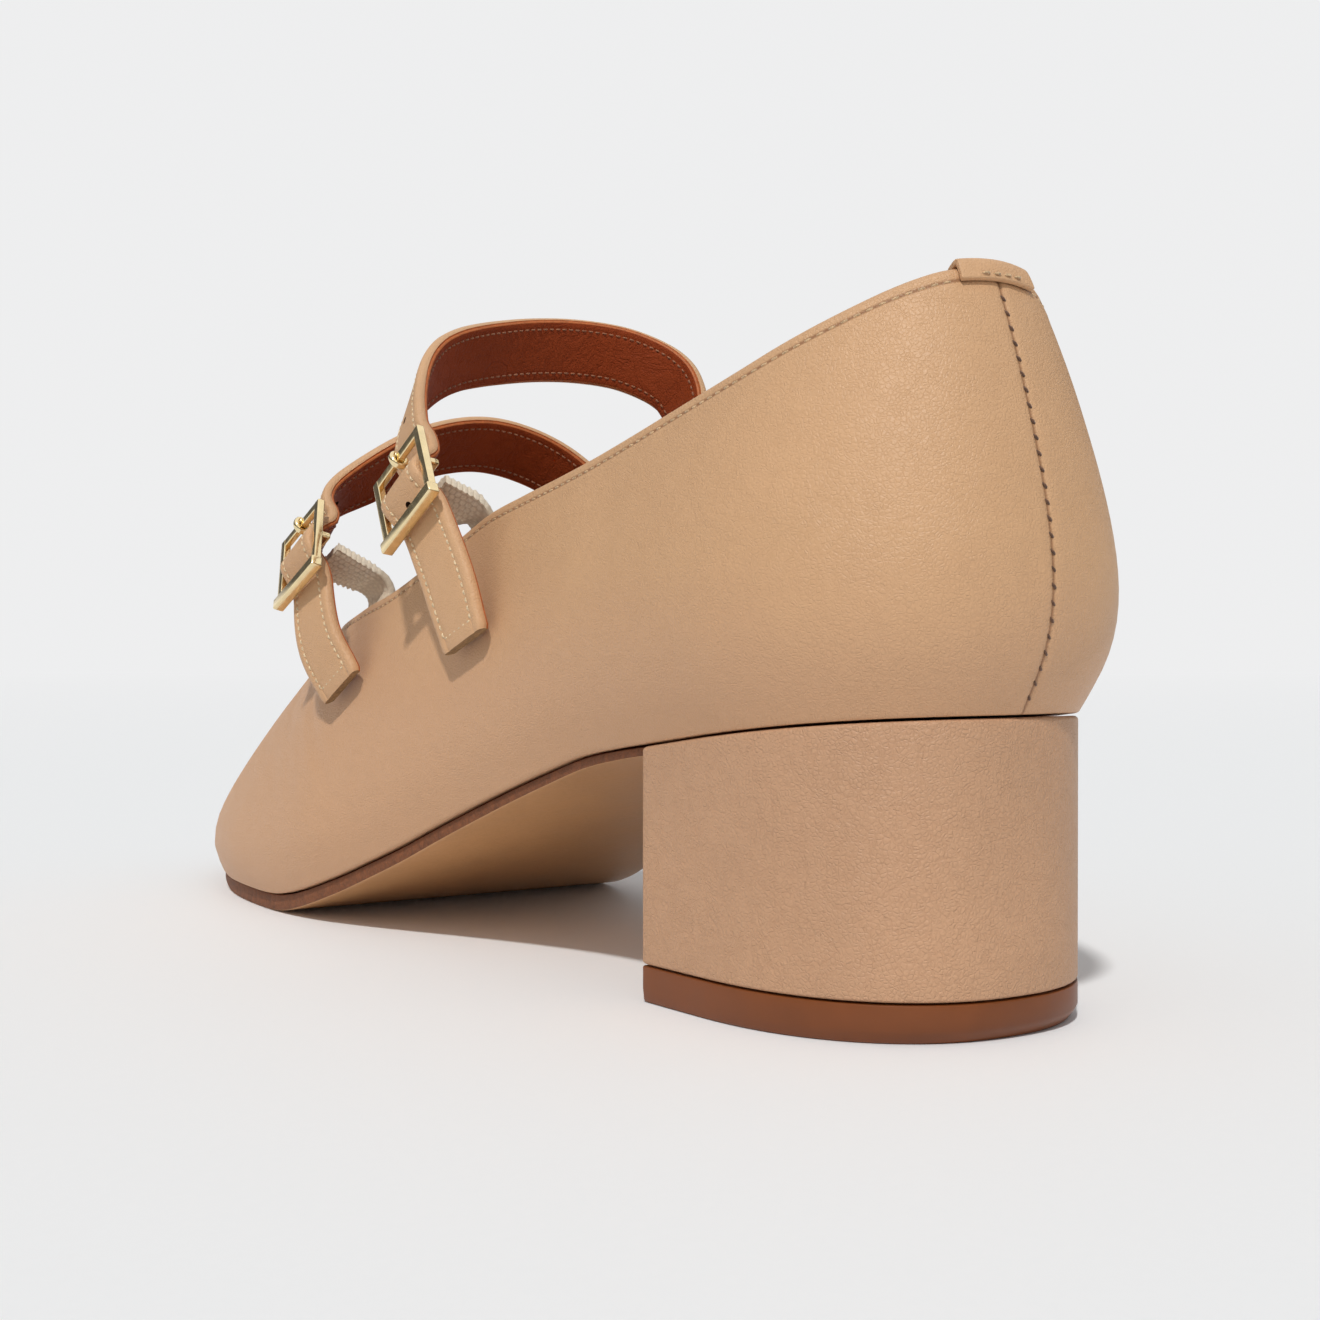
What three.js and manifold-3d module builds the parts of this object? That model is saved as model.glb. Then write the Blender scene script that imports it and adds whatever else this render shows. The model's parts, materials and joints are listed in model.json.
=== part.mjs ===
// A double-strap mary jane pump for the left foot, on a low leather-covered block heel.
// Millimetres. +Z is up, the toe points to -Y and the outer (lateral) side is +X.
// Stations run forward from the back of the counter, so a station's y is originStation - station.
// The origin lies on the floor, in the middle of the face that the heel stands on.
import * as THREE from 'three';
import Module from 'manifold-3d';

// Last and upper
const shoeLength = 242; // back of the counter to the toe tip
const seatHeight = 41; // upper's bottom edge at the back, above the floor
const counterHeight = 57.5; // bottom edge to topline, up the back seam
const ballHalfOuter = 37; // bottom outline from the spine line at the ball, lateral side
const ballHalfInner = 38.5; // the same, medial side
const heelHalfWidth = 26;
const instepHeight = 66; // top of the last at the instep section, above the floor
const upperWall = 2.2; // outer leather, stiffener and lining together
const throatStation = 172; // front of the opening, on the spine line
const throatStart = 140; // where the sides of the opening turn in to the throat
const backTuck = 5.7; // how far the seat edge lies in from the back of the counter
const toeSpring = 7; // underside of the toe tip, above the floor

// Sole and heel
const soleThickness = 3;
const soleThinned = 1.3; // at the heel breast
const soleInset = 0.9; // sole edge in from the upper's bottom edge
const treadStart = 167; // the flat of the forepart
const treadEnd = 191;
const heelLength = 48; // breast to back
const topPieceThickness = 5;
const topPieceBevel = 1.5; // under the back of the top piece
const heelRim = 1.1; // rounding of the covered heel's top and bottom edges
const insoleThickness = 2.4;
const insoleRoom = 1.2; // insole's edge to the wall

// Straps, buckles and elastics
const strapWidth = 11.6;
const strapThickness = 2.2;
const buckleBar = 1.9; // across a bar, in the buckle's plane
const buckleDepth = 1.3;
const buckleSideRoom = 0.5; // strap edge to side bar
const buckleWindow = 11; // between the end bars
const elasticWidth = 8;
const elasticThickness = 1.6;
const seamGap = 0.3; // between pieces that touch
const sewnRoom = 0.75; // between a band and the lining it is sewn to
const tailRoom = 1.2; // between a strap's tail and the quarter it hangs over

// Heel tab
const tabDrop = 2.4;
const tabThickness = 0.9;

const heelRoundLength = 34; // length of the heel outline's rounded back
const heelRoundness = 2.3; // superellipse exponents of the outline's ends
const toeRoundness = 2.12;
const heelRoundStation = backTuck + heelRoundLength;
const breastStation = backTuck + heelLength;
const toeRoundStation = 0.7 * shoeLength;
const toeRoundLength = shoeLength - toeRoundStation;
const originStation = backTuck + heelLength / 2;

// Cross sections of the last. at: share of the shoe's length. outer, inner: half widths of the bottom outline as
// shares of the ball's. spine: x of the ridge line. ridge: top of the section as a share of instepHeight.
// swell: how far the wall stands out past the bottom outline, and swellAt the height where it does so most.
// full: exponent of the section's roundness.
const sections = [
  { at: 0.0, outer: 0.70, inner: 0.67, spine: 0.0, ridge: 2.25, swell: 5.9, swellAt: 19, full: 2.3 },
  { at: 0.045, outer: 0.70, inner: 0.67, spine: 0.0, ridge: 2.02, swell: 5.9, swellAt: 18.5, full: 2.3 },
  { at: 0.09, outer: 0.70, inner: 0.67, spine: 0.0, ridge: 1.8, swell: 5.8, swellAt: 18.5, full: 2.3 },
  { at: 0.17, outer: 0.703, inner: 0.675, spine: 0.0, ridge: 1.72, swell: 5.6, swellAt: 18.5, full: 2.3 },
  { at: 0.225, outer: 0.703, inner: 0.665, spine: 0.0, ridge: 1.68, swell: 5.1, swellAt: 18, full: 2.3 },
  { at: 0.31, outer: 0.72, inner: 0.61, spine: -0.5, ridge: 1.64, swell: 4.5, swellAt: 17, full: 2.3 },
  { at: 0.39, outer: 0.77, inner: 0.58, spine: -1.0, ridge: 1.56, swell: 4.0, swellAt: 16, full: 2.3 },
  { at: 0.475, outer: 0.85, inner: 0.65, spine: -1.5, ridge: 1.43, swell: 3.6, swellAt: 15, full: 2.45 },
  { at: 0.56, outer: 0.94, inner: 0.8, spine: -2.0, ridge: 1.22, swell: 3.3, swellAt: 13, full: 2.7 },
  { at: 0.62, outer: 0.985, inner: 0.91, spine: -2.3, ridge: 1.06, swell: 3.1, swellAt: 12, full: 2.8 },
  { at: 0.7, outer: 1.0, inner: 1.0, spine: -3.0, ridge: 0.85, swell: 2.9, swellAt: 10, full: 2.7 },
  { at: 0.78, outer: 1.0, inner: 1.0, spine: -4.0, ridge: 0.7, swell: 2.7, swellAt: 9, full: 2.6 },
  { at: 0.87, outer: 1.0, inner: 1.0, spine: -5.5, ridge: 0.57, swell: 2.3, swellAt: 8, full: 2.55 },
  { at: 0.95, outer: 1.0, inner: 1.0, spine: -7.0, ridge: 0.48, swell: 1.8, swellAt: 7, full: 2.6 },
  { at: 1.0, outer: 1.0, inner: 1.0, spine: -8.0, ridge: 0.44, swell: 1.5, swellAt: 6.5, full: 2.6 },
];

// The waist of the sole, from the breast to the tread. at: share of the way. rise: share of the breast's height.
const waist = [
  { at: 0.0, rise: 1.0 },
  { at: 0.11, rise: 0.945 },
  { at: 0.17, rise: 0.895 },
  { at: 0.25, rise: 0.812 },
  { at: 0.345, rise: 0.703 },
  { at: 0.47, rise: 0.545 },
  { at: 0.575, rise: 0.402 },
  { at: 0.68, rise: 0.27 },
  { at: 0.78, rise: 0.155 },
  { at: 0.88, rise: 0.062 },
  { at: 0.95, rise: 0.016 },
  { at: 1.0, rise: 0.0 },
];
const breastShare = 0.875; // the seat falls from the back to this share of its height at the breast

// Topline seen from the side. at: share of the way from the back to the throat's start. rise: share of counterHeight
// above the seat's height.
const topline = [
  { at: 0.0, rise: 1.03 },
  { at: 0.07, rise: 1.018 },
  { at: 0.12, rise: 0.95 },
  { at: 0.18, rise: 0.868 },
  { at: 0.27, rise: 0.772 },
  { at: 0.36, rise: 0.715 },
  { at: 0.5, rise: 0.632 },
  { at: 0.63, rise: 0.57 },
  { at: 0.71, rise: 0.527 },
  { at: 0.83, rise: 0.4 },
  { at: 0.93, rise: 0.312 },
  { at: 1.0, rise: 0.275 },
];

// Strap centre lines from the tail to the inner end. at: station as a share of the shoe's length. up: height as a
// share of instepHeight. out: x as a share of ballHalfOuter, or wall names the face of the quarter that it follows.
// dip: how far the strap's front edge dips, and turn how far it turns outwards, in degrees.
const strapRoutes = {
  rear: [
    { at: 0.3843, up: 0.762, wall: 'outside', dip: 18, turn: 14 },
    { at: 0.4012, up: 0.905, out: 0.89, dip: 26, turn: 10 },
    { at: 0.444, up: 1.128, out: 0.887, dip: 39, turn: 8 },
    { at: 0.4905, up: 1.35, out: 0.757, dip: 55, turn: 4 },
    { at: 0.5178, up: 1.482, out: 0.516, dip: 66, turn: 0 },
    { at: 0.5331, up: 1.55, out: 0.108, dip: 71, turn: 0 },
    { at: 0.5306, up: 1.57, out: -0.297, dip: 74, turn: 0 },
    { at: 0.5157, up: 1.545, out: -0.554, dip: 74, turn: 0 },
    { at: 0.4917, up: 1.473, out: -0.697, dip: 70, turn: 0 },
    { at: 0.4719, up: 1.333, out: -0.703, dip: 62, turn: 0 },
    { at: 0.4566, up: 1.189, out: -0.608, dip: 52, turn: 0 },
    { at: 0.4463, up: 1.061, wall: 'inside', dip: 42, turn: 0 },
    { at: 0.436, up: 0.864, wall: 'inside', dip: 38, turn: 0 },
  ],
  front: [
    { at: 0.5537, up: 0.644, wall: 'outside', dip: 16, turn: 12 },
    { at: 0.5744, up: 0.773, out: 0.973, dip: 26, turn: 10 },
    { at: 0.6012, up: 0.988, out: 0.919, dip: 38, turn: 8 },
    { at: 0.6281, up: 1.136, out: 0.777, dip: 48, turn: 3 },
    { at: 0.6281, up: 1.22, out: 0.541, dip: 52, turn: 0 },
    { at: 0.624, up: 1.297, out: 0.27, dip: 54, turn: 0 },
    { at: 0.6219, up: 1.333, out: -0.054, dip: 56, turn: 0 },
    { at: 0.6178, up: 1.308, out: -0.324, dip: 55, turn: 0 },
    { at: 0.6074, up: 1.242, out: -0.541, dip: 52, turn: 0 },
    { at: 0.5909, up: 1.136, out: -0.689, dip: 46, turn: 0 },
    { at: 0.5785, up: 1.023, out: -0.716, dip: 40, turn: 0 },
    { at: 0.5702, up: 0.879, wall: 'inside', dip: 36, turn: 0 },
    { at: 0.5579, up: 0.727, wall: 'inside', dip: 32, turn: 0 },
  ],
};
const buckleRows = { rear: 2, front: 2 }; // the route's row at each buckle's middle
const strapLift = 3.1; // how far the strap rises over a buckle's middle bar
const strapDip = 1.7; // how far it dips under the end bar that carries the prong

// Elastics run from a buckle's middle bar down inside the quarter. in: distance inward from the strap's middle.
const elasticRoutes = {
  rear: [
    { at: 0.444, up: 1.128, out: 0.887, in: 2.4, dip: -39, turn: 188 },
    { at: 0.4442, up: 1.053, wall: 'lining', dip: 38, turn: 14 },
    { at: 0.4421, up: 0.97, wall: 'lining', dip: 32, turn: 12 },
    { at: 0.4388, up: 0.894, wall: 'lining', dip: 28, turn: 12 },
    { at: 0.4347, up: 0.818, wall: 'lining', dip: 26, turn: 12 },
  ],
  front: [
    { at: 0.6012, up: 0.988, out: 0.919, in: 2.4, dip: -38, turn: 188 },
    { at: 0.6, up: 0.902, out: 0.573, dip: -22, turn: 184 },
    { at: 0.5967, up: 0.833, wall: 'lining', dip: 30, turn: 12 },
    { at: 0.5917, up: 0.765, wall: 'lining', dip: 26, turn: 12 },
    { at: 0.5868, up: 0.697, wall: 'lining', dip: 24, turn: 12 },
  ],
};
const prongWidth = 1.8;
const prongThickness = 0.6;
const tabLines = 2; // lines of the heel tab, each side of the back seam
const tabReach = 1.45; // how many of the upper's own lines it spans, each side

// Meshing
const outlineSteps = { back: 10, side: 10, waist: 7, toe: 16 };
const wallSteps = 14;
const fineSteps = 160;

// Tables and small helpers
const rad = Math.PI / 180;
const clamp = (v, lo, hi) => Math.min(hi, Math.max(lo, v));
const mix = (a, b, t) => a + (b - a) * t;

// Smooth, overshoot-free curve through a table's column.
function column(table, name, key = 'at') {
  const x = table.map((row) => row[key]);
  const y = table.map((row) => row[name]);
  const n = x.length;
  const slope = x.slice(1).map((v, i) => (y[i + 1] - y[i]) / (v - x[i]));
  const tangent = y.map((_, i) => {
    if (i === 0) return slope[0];
    if (i === n - 1) return slope[n - 2];
    if (slope[i - 1] * slope[i] <= 0) return 0;
    return (2 * slope[i - 1] * slope[i]) / (slope[i - 1] + slope[i]);
  });
  return (at) => {
    const v = clamp(at, x[0], x[n - 1]);
    let i = 0;
    while (i < n - 2 && v > x[i + 1]) i += 1;
    const h = x[i + 1] - x[i];
    const t = (v - x[i]) / h;
    const a = y[i] * (1 + 2 * t) * (1 - t) ** 2 + y[i + 1] * t * t * (3 - 2 * t);
    return a + h * (tangent[i] * t * (1 - t) ** 2 - tangent[i + 1] * t * t * (1 - t));
  };
}

const sectionOf = Object.fromEntries(
  ['outer', 'inner', 'spine', 'ridge', 'swell', 'swellAt', 'full'].map((name) => [name, column(sections, name)]),
);
const waistRise = column(waist, 'rise');
const toplineRise = column(topline, 'rise');

const spineX = (station) => sectionOf.spine(station / shoeLength);
const ridgeZ = (station) => sectionOf.ridge(station / shoeLength) * instepHeight;

// Half width of the bottom outline at a station between the two rounded ends.
function halfWidth(side, station) {
  const at = station / shoeLength;
  return side > 0 ? sectionOf.outer(at) * ballHalfOuter : sectionOf.inner(at) * ballHalfInner;
}

// Sole thickness, underside and the upper's bottom edge, by station.
function soleAt(station) {
  const t = clamp((station - breastStation) / (treadStart - breastStation), 0, 1);
  return mix(soleThinned, soleThickness, t);
}
const breastUnder = seatHeight * breastShare - seamGap - soleThinned;
function underside(station) {
  if (station >= treadEnd) {
    return toeSpring * ((station - treadEnd) / (shoeLength - treadEnd)) ** 1.7;
  }
  if (station >= treadStart) return 0;
  return breastUnder * waistRise((station - breastStation) / (treadStart - breastStation));
}
function featherZ(station) {
  if (station < breastStation) {
    const t = (breastStation - station) / heelLength;
    return seatHeight * mix(1, breastShare, (1 - t) ** 1.35);
  }
  return underside(station) + soleAt(station) + seamGap;
}

// Where a plan point lies between the spine line (0) and the bottom outline (1), and the direction outwards.
function shareOut(x, station) {
  const side = x >= spineX(station) ? 1 : -1;
  const dx = Math.abs(x - spineX(station));
  if (station < heelRoundStation) {
    const a = halfWidth(side, heelRoundStation);
    const b = (heelRoundStation - station) / heelRoundLength;
    return ((dx / a) ** heelRoundness + b ** heelRoundness) ** (1 / heelRoundness);
  }
  if (station > toeRoundStation) {
    const a = halfWidth(side, toeRoundStation);
    const b = (station - toeRoundStation) / toeRoundLength;
    return ((dx / a) ** toeRoundness + b ** toeRoundness) ** (1 / toeRoundness);
  }
  return dx / halfWidth(side, station);
}
function outwards(x, station) {
  const middle = clamp(station, heelRoundStation, toeRoundStation);
  const dx = x - spineX(middle);
  const ds = station - middle;
  const length = Math.hypot(dx, ds) || 1;
  return [dx / length, ds / length];
}

// Height of the last over a plan point that is the given share of the way out.
function lastZ(station, share) {
  const low = featherZ(station);
  const s = Math.min(share, 1);
  return low + (ridgeZ(station) - low) * Math.sqrt(Math.max(0, 1 - s ** sectionOf.full(station / shoeLength)));
}
// Outward swell of the wall at a height above the bottom edge.
function swellAt(station, z) {
  const at = station / shoeLength;
  const h = Math.max(0, z - featherZ(station)) / sectionOf.swellAt(at);
  return sectionOf.swell(at) * (h * Math.exp(1 - h)) ** 1.25;
}
// A point of the last's surface above a plan point: [x, station, z].
function lastPoint(x, station) {
  const z = lastZ(station, shareOut(x, station));
  const [ox, os] = outwards(x, station);
  const swell = swellAt(station, z);
  return [x + ox * swell, station + os * swell, z];
}
// x of the upper's outer face on a straight part of the side, at a height.
function wallX(side, station, z) {
  const low = featherZ(station);
  const h = clamp((z - low) / (ridgeZ(station) - low), 0, 1);
  const share = (1 - h * h) ** (1 / sectionOf.full(station / shoeLength));
  return spineX(station) + side * (halfWidth(side, station) * share + swellAt(station, z));
}

const toplineZ = (station) => seatHeight + counterHeight * toplineRise(station / throatStart);

// The bottom outline on one side, from the back centre to the toe tip: [x, station].
function featherOutline(side) {
  const points = [];
  const { back, side: sides, waist: forward, toe } = outlineSteps;
  for (let i = 0; i < back; i += 1) {
    const angle = (i / back) * 90 * rad;
    const a = halfWidth(side, heelRoundStation);
    const dx = a * Math.sin(angle) ** (2 / heelRoundness);
    const ds = heelRoundLength * Math.cos(angle) ** (2 / heelRoundness);
    points.push([spineX(heelRoundStation) + side * dx, heelRoundStation - ds]);
  }
  for (let i = 0; i < sides + forward; i += 1) {
    const station = i < sides
      ? mix(heelRoundStation, throatStart, i / sides)
      : mix(throatStart, toeRoundStation, (i - sides) / forward);
    points.push([spineX(station) + side * halfWidth(side, station), station]);
  }
  for (let i = 0; i <= toe; i += 1) {
    const angle = (i / toe) * 90 * rad;
    const station = toeRoundStation + toeRoundLength * Math.sin(angle) ** (2 / toeRoundness);
    const a = halfWidth(side, toeRoundStation);
    const dx = a * Math.max(0, Math.cos(angle)) ** (2 / toeRoundness);
    points.push([spineX(station) + side * dx, i === toe ? shoeLength : station]);
  }
  return points;
}

// Plan point where the wall above a point of the bottom outline meets the topline.
function toplineUnder([x, station]) {
  const middle = clamp(station, heelRoundStation, throatStart);
  const centre = [spineX(middle), middle];
  let low = 0.2;
  let high = 1;
  for (let k = 0; k < 40; k += 1) {
    const share = (low + high) / 2;
    const s = mix(centre[1], station, share);
    const z = lastZ(s, shareOut(mix(centre[0], x, share), s));
    if (z > toplineZ(s)) low = share;
    else high = share;
  }
  return [mix(centre[0], x, high), mix(centre[1], station, high)];
}
const throatRoundness = 2.3;
function throatPoint(side, turn) {
  const start = toplineUnder([spineX(throatStart) + side * halfWidth(side, throatStart), throatStart]);
  const half = Math.abs(start[0] - spineX(throatStart));
  const station = mix(throatStart, throatStation, Math.sin(turn * 90 * rad) ** (2 / throatRoundness));
  const dx = half * Math.max(0, Math.cos(turn * 90 * rad)) ** (2 / throatRoundness);
  return [spineX(station) + side * dx, station];
}

// One line of the upper's outer face, from the bottom edge to the topline, in even steps: points [x, station, z].
function wallLine(foot, head) {
  const fine = [];
  for (let k = 0; k <= fineSteps; k += 1) {
    const t = 1 - Math.cos((k / fineSteps) * 90 * rad);
    fine.push(lastPoint(mix(foot[0], head[0], t), mix(foot[1], head[1], t)));
  }
  fine[0] = [foot[0], foot[1], featherZ(foot[1])];
  return evenly(fine, wallSteps);
}
function evenly(points, steps) {
  const run = [0];
  for (let k = 1; k < points.length; k += 1) {
    run.push(run[k - 1] + Math.hypot(...points[k].map((v, c) => v - points[k - 1][c])));
  }
  const total = run[run.length - 1];
  const out = [];
  let k = 0;
  for (let i = 0; i <= steps; i += 1) {
    const want = (total * i) / steps;
    while (k < points.length - 2 && run[k + 1] < want) k += 1;
    const t = clamp((want - run[k]) / (run[k + 1] - run[k] || 1), 0, 1);
    out.push(points[k].map((v, c) => mix(v, points[k + 1][c], t)));
  }
  return out;
}

// The upper's outer face as a ring of lines: back centre, round the outer side to the toe, back round the inner side.
function upperRing() {
  const lines = { 1: [], [-1]: [] };
  const turnFrom = outlineSteps.back + outlineSteps.side;
  for (const side of [1, -1]) {
    const feet = featherOutline(side);
    feet.forEach((foot, i) => {
      const turn = (i - turnFrom) / (feet.length - 1 - turnFrom);
      const head = i < turnFrom ? toplineUnder(foot) : throatPoint(side, turn);
      lines[side].push(wallLine(foot, head));
    });
  }
  const inner = lines[-1].slice(1, -1).reverse();
  return [...lines[1], ...inner];
}

// Vectors and solids from grids of points
const toVector = ([x, station, z]) => new THREE.Vector3(x, originStation - station, z);
const grid = (lines) => lines.map((line) => line.map(toVector));

function solid(points, faces) {
  const geometry = new THREE.BufferGeometry();
  geometry.setAttribute('position', new THREE.Float32BufferAttribute(points.flatMap((p) => [p.x, p.y, p.z]), 3));
  let volume = 0;
  const cross = new THREE.Vector3();
  for (const [a, b, c] of faces) volume += points[a].dot(cross.crossVectors(points[b], points[c]));
  geometry.setIndex(volume < 0 ? faces.flatMap(([a, b, c]) => [a, c, b]) : faces.flat());
  geometry.computeVertexNormals();
  return geometry;
}

// A solid swept through rings of equally many points. Open sweeps are capped with fans; closed ones join up.
function sweep(rings, closed = false, capOf = fan) {
  const n = rings[0].length;
  const points = rings.flat();
  const faces = [];
  const last = closed ? rings.length : rings.length - 1;
  for (let i = 0; i < last; i += 1) {
    const next = ((i + 1) % rings.length) * n;
    for (let j = 0; j < n; j += 1) {
      const a = i * n + j;
      const b = i * n + ((j + 1) % n);
      const c = next + ((j + 1) % n);
      const d = next + j;
      faces.push([a, b, c], [a, c, d]);
    }
  }
  if (!closed) {
    const end = (rings.length - 1) * n;
    for (const [a, b, c] of capOf(n)) faces.push([a, c, b], [end + a, end + b, end + c]);
  }
  return solid(points, faces);
}
// Cap triangles for a ring: a fan, or a strip between its two halves where the ring is a folded shell.
function fan(n) {
  return Array.from({ length: n - 2 }, (_, i) => [0, i + 1, i + 2]);
}
function strip(n) {
  const faces = [];
  for (let i = 0; i < n / 2 - 1; i += 1) faces.push([i, i + 1, n - 2 - i], [i, n - 2 - i, n - 1 - i]);
  return faces;
}

// Moves a ring grid in along its own normals.
function inset(lines, distance) {
  const n = lines.length;
  return lines.map((line, i) => line.map((p, j) => {
    const along = lines[(i + 1) % n][j].clone().sub(lines[(i + n - 1) % n][j]);
    const up = line[Math.min(j + 1, line.length - 1)].clone().sub(line[Math.max(j - 1, 0)]);
    const normal = up.cross(along).normalize();
    if (j === 0) normal.setZ(0).normalize();
    return p.clone().addScaledVector(normal, -distance);
  }));
}

// Upper: the ring's outer and inner faces, joined by the rims at the topline and the bottom edge.
function upperGeometry(outer, inner) {
  const rings = outer.map((line, i) => [...line, ...inner[i].slice().reverse()]);
  return sweep(rings, true);
}

// Pairs of points on the two sides at one station, for plates across the shoe.
function stationPairs(outline, from, to) {
  const [left, right] = outline;
  return left.map((p, i) => [p, right[i]]).filter(([p]) => p[1] >= from && p[1] <= to);
}
function plate(pairs, topZ, bottomZ) {
  const rings = pairs.map(([l, r]) => [
    [l[0], l[1], topZ(l[1])],
    [r[0], r[1], topZ(r[1])],
    [r[0], r[1], bottomZ(r[1])],
    [l[0], l[1], bottomZ(l[1])],
  ].map(toVector));
  return sweep(rings);
}
// The bottom outline drawn in by a distance, on both sides.
function insetOutline(distance) {
  return [1, -1].map((side) => featherOutline(side).map(([x, station]) => {
    const [ox, os] = outwards(x, station);
    return [x - ox * distance, station - os * distance];
  }));
}
function atStation(outline, station) {
  return outline.map((side) => {
    const i = side.findIndex((p) => p[1] > station);
    const t = (station - side[i - 1][1]) / (side[i][1] - side[i - 1][1]);
    return [mix(side[i - 1][0], side[i][0], t), station];
  });
}
const tipTrim = 0.25; // keeps the plates' toe ends from closing to a line

function outsoleGeometry() {
  const outline = insetOutline(soleInset);
  const start = atStation(outline, breastStation + seamGap);
  const rest = stationPairs(outline, breastStation + 2, shoeLength);
  const pairs = [start, ...rest.slice(0, -1)];
  const [l, r] = rest[rest.length - 1];
  pairs.push([[l[0] + tipTrim, l[1]], [r[0] - tipTrim, r[1]]]);
  return plate(pairs, (s) => featherZ(s) - seamGap, underside);
}

function insoleGeometry() {
  const outline = insetOutline(upperWall + insoleRoom);
  const pairs = stationPairs(outline, 0, shoeLength);
  const [hl, hr] = pairs[0];
  pairs[0] = [[hl[0] + tipTrim, hl[1]], [hr[0] - tipTrim, hr[1]]];
  const [l, r] = pairs[pairs.length - 1];
  pairs[pairs.length - 1] = [[l[0] + tipTrim, l[1]], [r[0] - tipTrim, r[1]]];
  return plate(pairs, (s) => featherZ(s) + insoleThickness, featherZ);
}

// The heel's D outline: outer breast corner, round the back, inner breast corner.
function heelOutline(shrink) {
  const points = [];
  const steps = 28;
  const half = heelHalfWidth - shrink;
  const round = heelRoundLength - shrink;
  points.push([half, breastStation - shrink]);
  for (let i = 0; i <= steps; i += 1) {
    const angle = (i / steps) * 180 * rad;
    const c = Math.cos(angle);
    const x = Math.sign(c) * Math.abs(c) ** (2 / heelRoundness) * half;
    const back = Math.abs(Math.sin(angle)) ** (2 / heelRoundness) * round;
    points.push([x, heelRoundStation - back]);
  }
  points.push([-half, breastStation - shrink]);
  return points;
}
function heelGeometry() {
  const top = (station) => featherZ(station) - seamGap;
  const base = topPieceThickness + seamGap;
  const layers = [
    [heelRim, () => base],
    [heelRim * 0.3, () => base + heelRim * 0.3],
    [0, () => base + heelRim],
    [0, (s) => top(s) - heelRim * 1.6],
    [heelRim * 0.3, (s) => top(s) - heelRim * 0.5],
    [heelRim, top],
  ];
  return sweep(layers.map(([shrink, z]) => heelOutline(shrink).map(([x, s]) => toVector([x, s, z(s)]))));
}
function topPieceGeometry() {
  // The bevel grows from nothing at the sides to its full size at the back.
  const bevel = (station) => topPieceBevel * clamp((heelRoundStation - station) / heelRoundLength, 0, 1) ** 1.5;
  const rise = heelOutline(0).map(([x, s]) => toVector([x, s, bevel(s)]));
  const foot = heelOutline(0).map(([x, s]) => {
    const [ox, os] = outwards(x, Math.min(s, heelRoundStation));
    const cut = bevel(s);
    return toVector([x - ox * cut, s - os * cut, 0]);
  });
  const topZ = topPieceThickness;
  const top = heelOutline(0).map(([x, s]) => toVector([x, s, topZ]));
  return sweep([foot, rise, top]);
}

// Bands. A frame at each sample holds the middle, the direction along, the width direction and the outward normal.
// Rows on a wall of the quarter take its normal; the others take theirs from dip and turn.
function routeFrames(route, thickness, samples) {
  const inwards = upperWall + sewnRoom + thickness / 2;
  const faces = { outside: [1, tailRoom + thickness / 2], lining: [1, -inwards], inside: [-1, inwards] };
  const spots = route.map((row) => {
    const station = row.at * shoeLength;
    const z = row.up * instepHeight;
    if (!row.wall) return toVector([row.out * ballHalfOuter - (row.in ?? 0), station, z]);
    const [side, off] = faces[row.wall];
    return toVector([wallX(side, station, z) + off, station, z]);
  });
  const curve = new THREE.CatmullRomCurve3(spots, false, 'centripetal');
  const normals = route.map((row, i) => {
    const station = row.at * shoeLength;
    const z = row.up * instepHeight;
    if (row.wall) {
      const [side] = faces[row.wall];
      const slope = (ds, dz) => (wallX(side, station + ds, z + dz) - wallX(side, station - ds, z - dz)) / 4;
      return new THREE.Vector3(1, slope(2, 0), -slope(0, 2)).multiplyScalar(side).normalize();
    }
    const dip = row.dip * rad;
    const turn = row.turn * rad;
    const width = new THREE.Vector3(Math.sin(turn), -Math.cos(turn), 0).multiplyScalar(Math.cos(dip));
    width.z = -Math.sin(dip);
    return curve.getTangent(i / (route.length - 1)).cross(width).normalize();
  });
  const normalCurve = new THREE.CatmullRomCurve3(normals);
  return samples.map((at) => {
    const along = curve.getTangent(at);
    const normal = normalCurve.getPoint(at);
    normal.addScaledVector(along, -normal.dot(along)).normalize();
    const width = new THREE.Vector3().crossVectors(normal, along);
    return { at, middle: curve.getPoint(at), along, width, normal };
  });
}
const place = (f, across, out, along = 0) => f.middle.clone()
  .addScaledVector(f.width, across).addScaledVector(f.normal, out).addScaledVector(f.along, along);

// A band with soft edges: an eight-sided section swept along the frames.
function bandGeometry(frames, width, thickness, lift = () => 0) {
  const w = width / 2;
  const h = thickness / 2;
  const e = thickness * 0.3;
  const section = [
    [-w, -h + e], [-w + e, -h], [w - e, -h], [w, -h + e], [w, h - e], [w - e, h], [-w + e, h], [-w, h - e],
  ];
  return sweep(frames.map((f) => section.map(([a, b]) => place(f, a, b + lift(f)))));
}

const buckleAt = (which) => buckleRows[which] / (strapRoutes[which].length - 1);
const evenSamples = (n) => Array.from({ length: n + 1 }, (_, i) => i / n);
// Samples close together through the buckle and further apart over the rest of a strap.
function strapSamples(which) {
  const middle = buckleAt(which);
  const reach = 1.3 / (strapRoutes[which].length - 1);
  const samples = evenSamples(strapRoutes[which].length * 3).filter((at) => Math.abs(at - middle) > reach);
  for (let i = -9; i <= 9; i += 1) samples.push(middle + (reach * i) / 9.5);
  return samples.sort((a, b) => a - b);
}
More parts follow.
